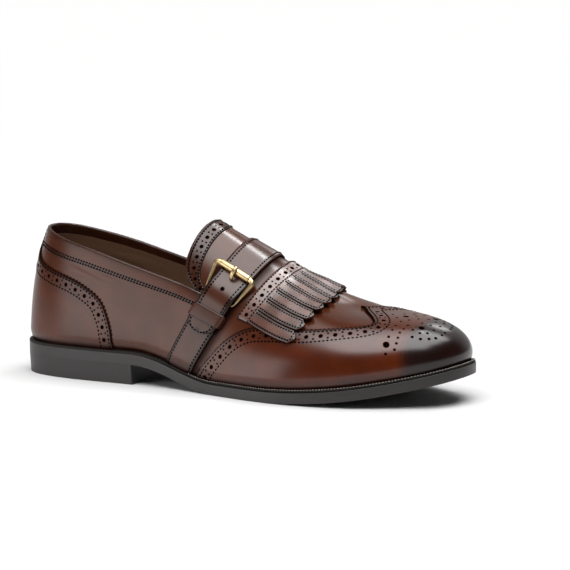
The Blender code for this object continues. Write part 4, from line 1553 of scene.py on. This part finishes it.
# corner: rib, height share, lift, half thickness
buckleCorners = [
    (0.4160, 0.608, 4.1, 1.60),
    (0.4715, 0.600, 4.1, 1.60),
    (0.4655, 0.410, 1.35, 0.55),
    (0.4225, 0.425, 1.35, 0.55),
]

# share along the roller, radius; the first and last rows close its ends
rollerTable = [
    (-0.0001, 0.1),
    (0.0, 1.7),
    (0.01, 2.0),
    (0.03, 2.1),
    (0.5, 2.1),
    (0.97, 2.1),
    (0.99, 2.0),
    (1.0, 1.7),
    (1.0001, 0.1),
]

# step, height share, lift, half thickness of the prong
prongTable = [
    (0, 0.541, 0.9, 0.75),
    (1, 0.548, 3.0, 0.85),
    (2, 0.559, 5.0, 0.90),
    (3, 0.579, 6.7, 0.90),
    (4, 0.599, 7.3, 0.90),
    (5, 0.613, 7.2, 0.85),
    (6, 0.620, 6.9, 0.70),
]

buckleLook = {
    "cornerShare": 0.14,
    "cornerSteps": 9,
    "sideShares": (0.2, 0.8, 10),
    "frameSides": 18,
    "frameFlat": 0.85,
    "rollerShares": (0.12, 0.88),
    "rollerSides": 24,
    "prongRib": 0.444,
    "prongSteps": 40,
    "prongSides": 16,
    "prongFlat": 1.5,
    "prongRounding": 14,  # power, higher is blunter
}


# rod: elliptic rings square to the path, radius per point
def rodRings(path, radius, sides, up, closed=False, flat=1.0):
    ahead = np.roll(path, -1, 0) - np.roll(path, 1, 0) if closed else np.gradient(path, axis=0)
    ahead = unit(ahead)
    across = unit(np.cross(ahead, up))
    high = np.cross(across, ahead)
    angle = np.linspace(0, 2 * np.pi, sides, endpoint=False)[None, :, None]
    circle = np.cos(angle) * across[:, None] + np.sin(angle) * flat * high[:, None]
    rings = path[:, None] + radius[:, None, None] * circle
    return np.concatenate([rings, rings[:1]]) if closed else rings


# frame: rod through four corners, each rounded by a parabola; roller: rod along the bar;
# prong: rod on a curve from the strap over the bar, thinned at its end
def makeBuckle(look):
    ribs, levels, lifts, size = np.array(buckleCorners).T
    corner = raised(ribs, levels, -1, lifts)
    up = unit(np.cross(corner[1] - corner[0], corner[3] - corner[0]))
    up = up if up[1] < 0 else -up
    path, radius = [], []
    for k in range(4):
        here, ahead, back = corner[k], corner[(k + 1) % 4], corner[k - 1]
        s = np.linspace(0, 1, look["cornerSteps"])[:, None]
        a, b = here + (back - here) * look["cornerShare"], here + (ahead - here) * look["cornerShare"]
        path.append((1 - s) ** 2 * a + 2 * s * (1 - s) * here + s ** 2 * b)
        radius.append(np.full(look["cornerSteps"], size[k]))
        s = np.linspace(*look["sideShares"])[:, None]
        path.append(here + (ahead - here) * s)
        radius.append(size[k] + (size[(k + 1) % 4] - size[k]) * s[:, 0])
    rings = rodRings(np.concatenate(path), np.concatenate(radius), look["frameSides"], up, True,
                     look["frameFlat"])
    frameRod = addGrids("buckleFrame", [rings], [brass], closed=True, turn=False)
    bar = corner[1] - corner[0]
    start, end = look["rollerShares"]
    share, radius = np.array(rollerTable).T
    path = corner[0] + bar * (start + (end - start) * share)[:, None]
    rings = rodRings(path, radius, look["rollerSides"], up)
    roller = addGrids("buckleRoller", [rings], [brass], closed=True, turn=False)
    last = prongTable[-1][0]
    t = np.linspace(0, last, look["prongSteps"])
    path = raised(look["prongRib"] + 0 * t, curve(prongTable, 1, t), -1, curve(prongTable, 2, t))
    rounded = np.sqrt(np.clip(1 - (t / last) ** look["prongRounding"], 0.01, 1))
    radius = curve(prongTable, 3, t) * rounded
    rings = rodRings(path, radius, look["prongSides"], unit(bar), False, look["prongFlat"])
    prong = addGrids("bucklePiece", [rings], [brass], closed=True, turn=False)
    return frameRod, roller, prong


buckle, roller, prong = makeBuckle(buckleLook)
place(buckle, "buckle_frame")
place(roller, "buckle_roller")
place(prong, "buckle_prong")
print("buckle done")

# punched hole near the strap's end
strapHole = {"rib": 0.4435, "run": 1.528, "top": 4.2, "over": 0.05, "radius": 1.0}
spot = (np.array([strapHole[k]]) for k in ("rib", "run", "top"))
addHoles(*lineOver(*spot, strapHole["over"]), strapHole["radius"])

# ring of a hole, from its soft lip to its floor painted black as the shade inside the hole: width in
# radii, height, share of painted shade
holeRings = [
    (1.45, -0.03, 0.15),
    (1.20, 0.07, 0.50),
    (1.02, 0.05, 0.95),
    (0.85, 0.03, 1.00),
    (0.03, 0.03, 1.00),
]
holeSides = 14

# ring of a stitch: place along it, width, sink
stitchRings = [
    (-0.50, 0.15, -0.25),
    (-0.40, 0.85, -0.08),
    (0.00, 1.00, 0.00),
    (0.40, 0.85, -0.08),
    (0.50, 0.15, -0.25),
]
stitchSides = 6
stitchFlat = 0.7


# every hole: circles of the rings' widths round its place, lifted along its normal; a disc on the skin
# whose black middle is painted shade in place of the hole's dark inside
def makeHoles():
    p, n, r = (np.concatenate(holes[k]) for k in ("p", "n", "r"))
    wide, high, shadeShare = (column[:, None, None] for column in np.array(holeRings).T)
    u = unit(np.cross(n, np.array([0.3, 0.9, 0.2])))  # any direction off the normals
    v = np.cross(n, u)
    angle = np.linspace(0, 2 * np.pi, holeSides, endpoint=False)[:, None]
    circle = (np.cos(angle) * u[:, None] + np.sin(angle) * v[:, None])[:, None]
    rings = p[:, None, None] + r[:, None, None, None] * wide * circle + high * n[:, None, None]
    brown = patinaAndShade(p)[:, None, None]
    # black middle: painted shade of the hole's inside
    colours = brown * (1 - shadeShare) + np.array(tones["paintedHoleShade"]) * shadeShare + np.zeros(rings.shape)
    return addRings("punchedHoles", rings, [cutLeather], colours)


# every stitch: small spindle lying along its step, ends sunk in
def spindles(name, kept, share, radius, material):
    p, n, step = (np.concatenate(kept[k]) for k in ("p", "n", "d"))
    s, fat, sink = np.array(stitchRings).T
    across = np.cross(n, unit(step))
    angle = np.linspace(0, 2 * np.pi, stitchSides, endpoint=False)[:, None]
    circle = np.cos(angle) * across[:, None] + stitchFlat * np.sin(angle) * n[:, None]
    middle = p[:, None] + share * s[:, None] * step[:, None] + sink[:, None] * n[:, None]
    rings = middle[:, :, None] + radius * fat[:, None, None] * circle[:, None]
    return addRings(name, rings, [material])


place(makeHoles(), None)
stitches = spindles("stitches", threads, threadLook["share"], threadLook["radius"], thread)
place(stitches, None)
weltStitches = spindles("weltStitches", weltThreads, weltSeam["share"], weltSeam["radius"], weltThread)
place(weltStitches, None)
print("holes and stitches done")

# stage

# heights are sines of the elevation, turns are cosines from an azimuth
stageLook = {
    "floor": (0.600, 0.603, 0.607),
    "floorHalf": 40000.0,
    "light": (1.0, 0.992, 0.985),
    "ambient": 0.03,
    "keyAzimuth": -28.0,
    "keyBright": 6.25,
    "keyHigh": (0.750, 0.850),
    "keyTurn": (-0.62, -0.30),
    "zenithHigh": (0.93, 0.985),
    "zenith": 0.6,
    "leanTurn": (-0.5, 0.5),
    "lean": (-0.08, 0.08),
    "toeTurn": (0.60, 0.95),
    "toeLean": -0.13,
    "backAzimuth": 115.0,
    "backBright": 0.45,
    "backTurn": (0.20, 0.75),
    "backHigh": (0.75, 0.95),
}

floorMaterial = plain("floorPaper", {"colour": stageLook["floor"], "rough": 0.9})
square = np.array([[-1, -1, 0], [1, -1, 0], [1, 1, 0], [-1, 1, 0]])
floor = addMesh("floor", square * stageLook["floorHalf"] + centre, [[0, 1, 2, 3]], [floorMaterial])


# room: a bright field high up with a clear lower edge, open to the back left, a pale wall behind;
# each part is a product of smooth steps in height and turn
def makeRoom(look):
    world = bpy.data.worlds.new("softRoom")
    bpy.context.scene.world = world
    world.use_nodes = True
    tree = world.node_tree
    coords = addNode(tree, "ShaderNodeTexCoord")
    split = addNode(tree, "ShaderNodeSeparateXYZ")
    tree.links.new(coords.outputs["Generated"], split.inputs["Vector"])
    height = split.outputs["Z"]

    # two sockets or numbers joined by one operation
    def combine(kind, first, second):
        node = addNode(tree, "ShaderNodeMath")
        node.operation = kind
        for slot, value in ((0, first), (1, second)):
            if isinstance(value, float):
                node.inputs[slot].default_value = value
            else:
                tree.links.new(value, node.inputs[slot])
        return node.outputs["Value"]

    # smooth step of a socket from one value to another
    def between(source, limits, start, end):
        low, high = limits
        node = addNode(tree, "ShaderNodeMapRange",
                       {"From Min": low, "From Max": high, "To Min": start, "To Max": end})
        node.interpolation_type = "SMOOTHSTEP"
        tree.links.new(source, node.inputs["Value"])
        return node.outputs["Result"]

    # cosine of the turn away from an azimuth, whatever the height
    def facing(azimuth):
        turn = math.radians(azimuth)
        alongX = combine("MULTIPLY", split.outputs["X"], math.cos(turn))
        alongY = combine("MULTIPLY", split.outputs["Y"], math.sin(turn))
        flat = combine("SQRT", combine("SUBTRACT", 1.001, combine("MULTIPLY", height, height)), 0.0)
        return combine("DIVIDE", combine("ADD", alongX, alongY), flat)

    aside = facing(look["keyAzimuth"])
    zenith = between(height, look["zenithHigh"], 0.0, look["zenith"])
    opened = combine("MAXIMUM", between(aside, look["keyTurn"], 0.0, 1.0), zenith)
    toeLean = between(facing(0.0), look["toeTurn"], 0.0, look["toeLean"])
    lean = combine("ADD", between(aside, look["leanTurn"], *look["lean"]), toeLean)
    field = between(combine("ADD", height, lean), look["keyHigh"], 0.0, look["keyBright"])
    behind = between(facing(look["backAzimuth"]), look["backTurn"], 0.0, look["backBright"])
    wall = combine("MULTIPLY", behind, between(height, look["backHigh"], 1.0, 0.0))
    total = combine("ADD", combine("ADD", combine("MULTIPLY", field, opened), wall), look["ambient"])
    background = tree.nodes["Background"]
    background.inputs["Color"].default_value = (*look["light"], 1.0)
    tree.links.new(total, background.inputs["Strength"])


# brightness in units of the white floor, sizes in m, spread in degrees
softBoxes = {
    "sideCard": {
        "place": (-0.287, -0.361, 0.115),
        "aim": (-0.03, -0.03, 0.05),
        "wide": 0.30,
        "tall": 0.23,
        "bright": 2.5,
        "spread": 180.0,
    },
    "rimBox": {
        "place": (0.015, 1.21, 0.93),
        "aim": (0.10, 0.0, 0.05),
        "wide": 0.28,
        "tall": 0.24,
        "bright": 5.5,
        "spread": 180.0,
    },
    "instepBox": {
        "place": (0.08, 0.46, 1.24),
        "aim": (0.0, 0.0, 0.08),
        "wide": 0.14,
        "tall": 0.20,
        "bright": 0.25,
        "spread": 14.0,
    },
}


# turn that points an object's -Z from one place to another
def turnTo(start, aim):
    return (Vector(aim) - Vector(start)).to_track_quat("-Z", "Y")


# area light at a place, aimed at another; power is brightness times pi times its area
def addSoftBox(name, look):
    lamp = bpy.data.lights.new(name, "AREA")
    lamp.shape = "RECTANGLE"
    lamp.size = look["wide"]
    lamp.size_y = look["tall"]
    lamp.spread = math.radians(look["spread"])
    lamp.energy = look["bright"] * math.pi * look["wide"] * look["tall"]
    box = bpy.data.objects.new(name, lamp)
    bpy.context.scene.collection.objects.link(box)
    box.location = look["place"]
    box.rotation_mode = "QUATERNION"
    box.rotation_quaternion = turnTo(look["place"], look["aim"])
    box.visible_camera = False


makeRoom(stageLook)
for name, look in softBoxes.items():
    addSoftBox(name, look)

# camera as in the photo: degrees, m, and mm for the lens
view = {
    "azimuth": 27.26,
    "elevation": 8.61,
    "distance": 1.55,
    "lens": 159.47,
    "sensor": 36.0,
    "farthest": 200.0,
    "high": 0.045,
    "side": 0.0245,
    "up": 0.0161,
}


# camera on a sphere round the shoe, aimed a little to the side of it and over it
def addCamera(look):
    a, e = math.radians(look["azimuth"]), math.radians(look["elevation"])
    right = Vector((math.cos(a), math.sin(a), 0.0))
    backward = Vector((math.sin(a) * math.cos(e), -math.cos(a) * math.cos(e), math.sin(e)))
    target = Vector((0.0, -centre[1] * millimetre, look["high"]))
    camera = bpy.data.cameras.new("photoCamera")
    camera.lens = look["lens"]
    camera.sensor_width = look["sensor"]
    camera.clip_end = look["farthest"]
    thing = bpy.data.objects.new("photoCamera", camera)
    bpy.context.scene.collection.objects.link(thing)
    thing.location = target + backward * look["distance"]
    aim = target + right * look["side"] + backward.cross(right) * look["up"]
    thing.rotation_mode = "QUATERNION"
    thing.rotation_quaternion = turnTo(thing.location, aim)
    bpy.context.scene.camera = thing


addCamera(view)
bpy.context.scene.view_settings.view_transform = "Standard"
print("stage and camera ready")
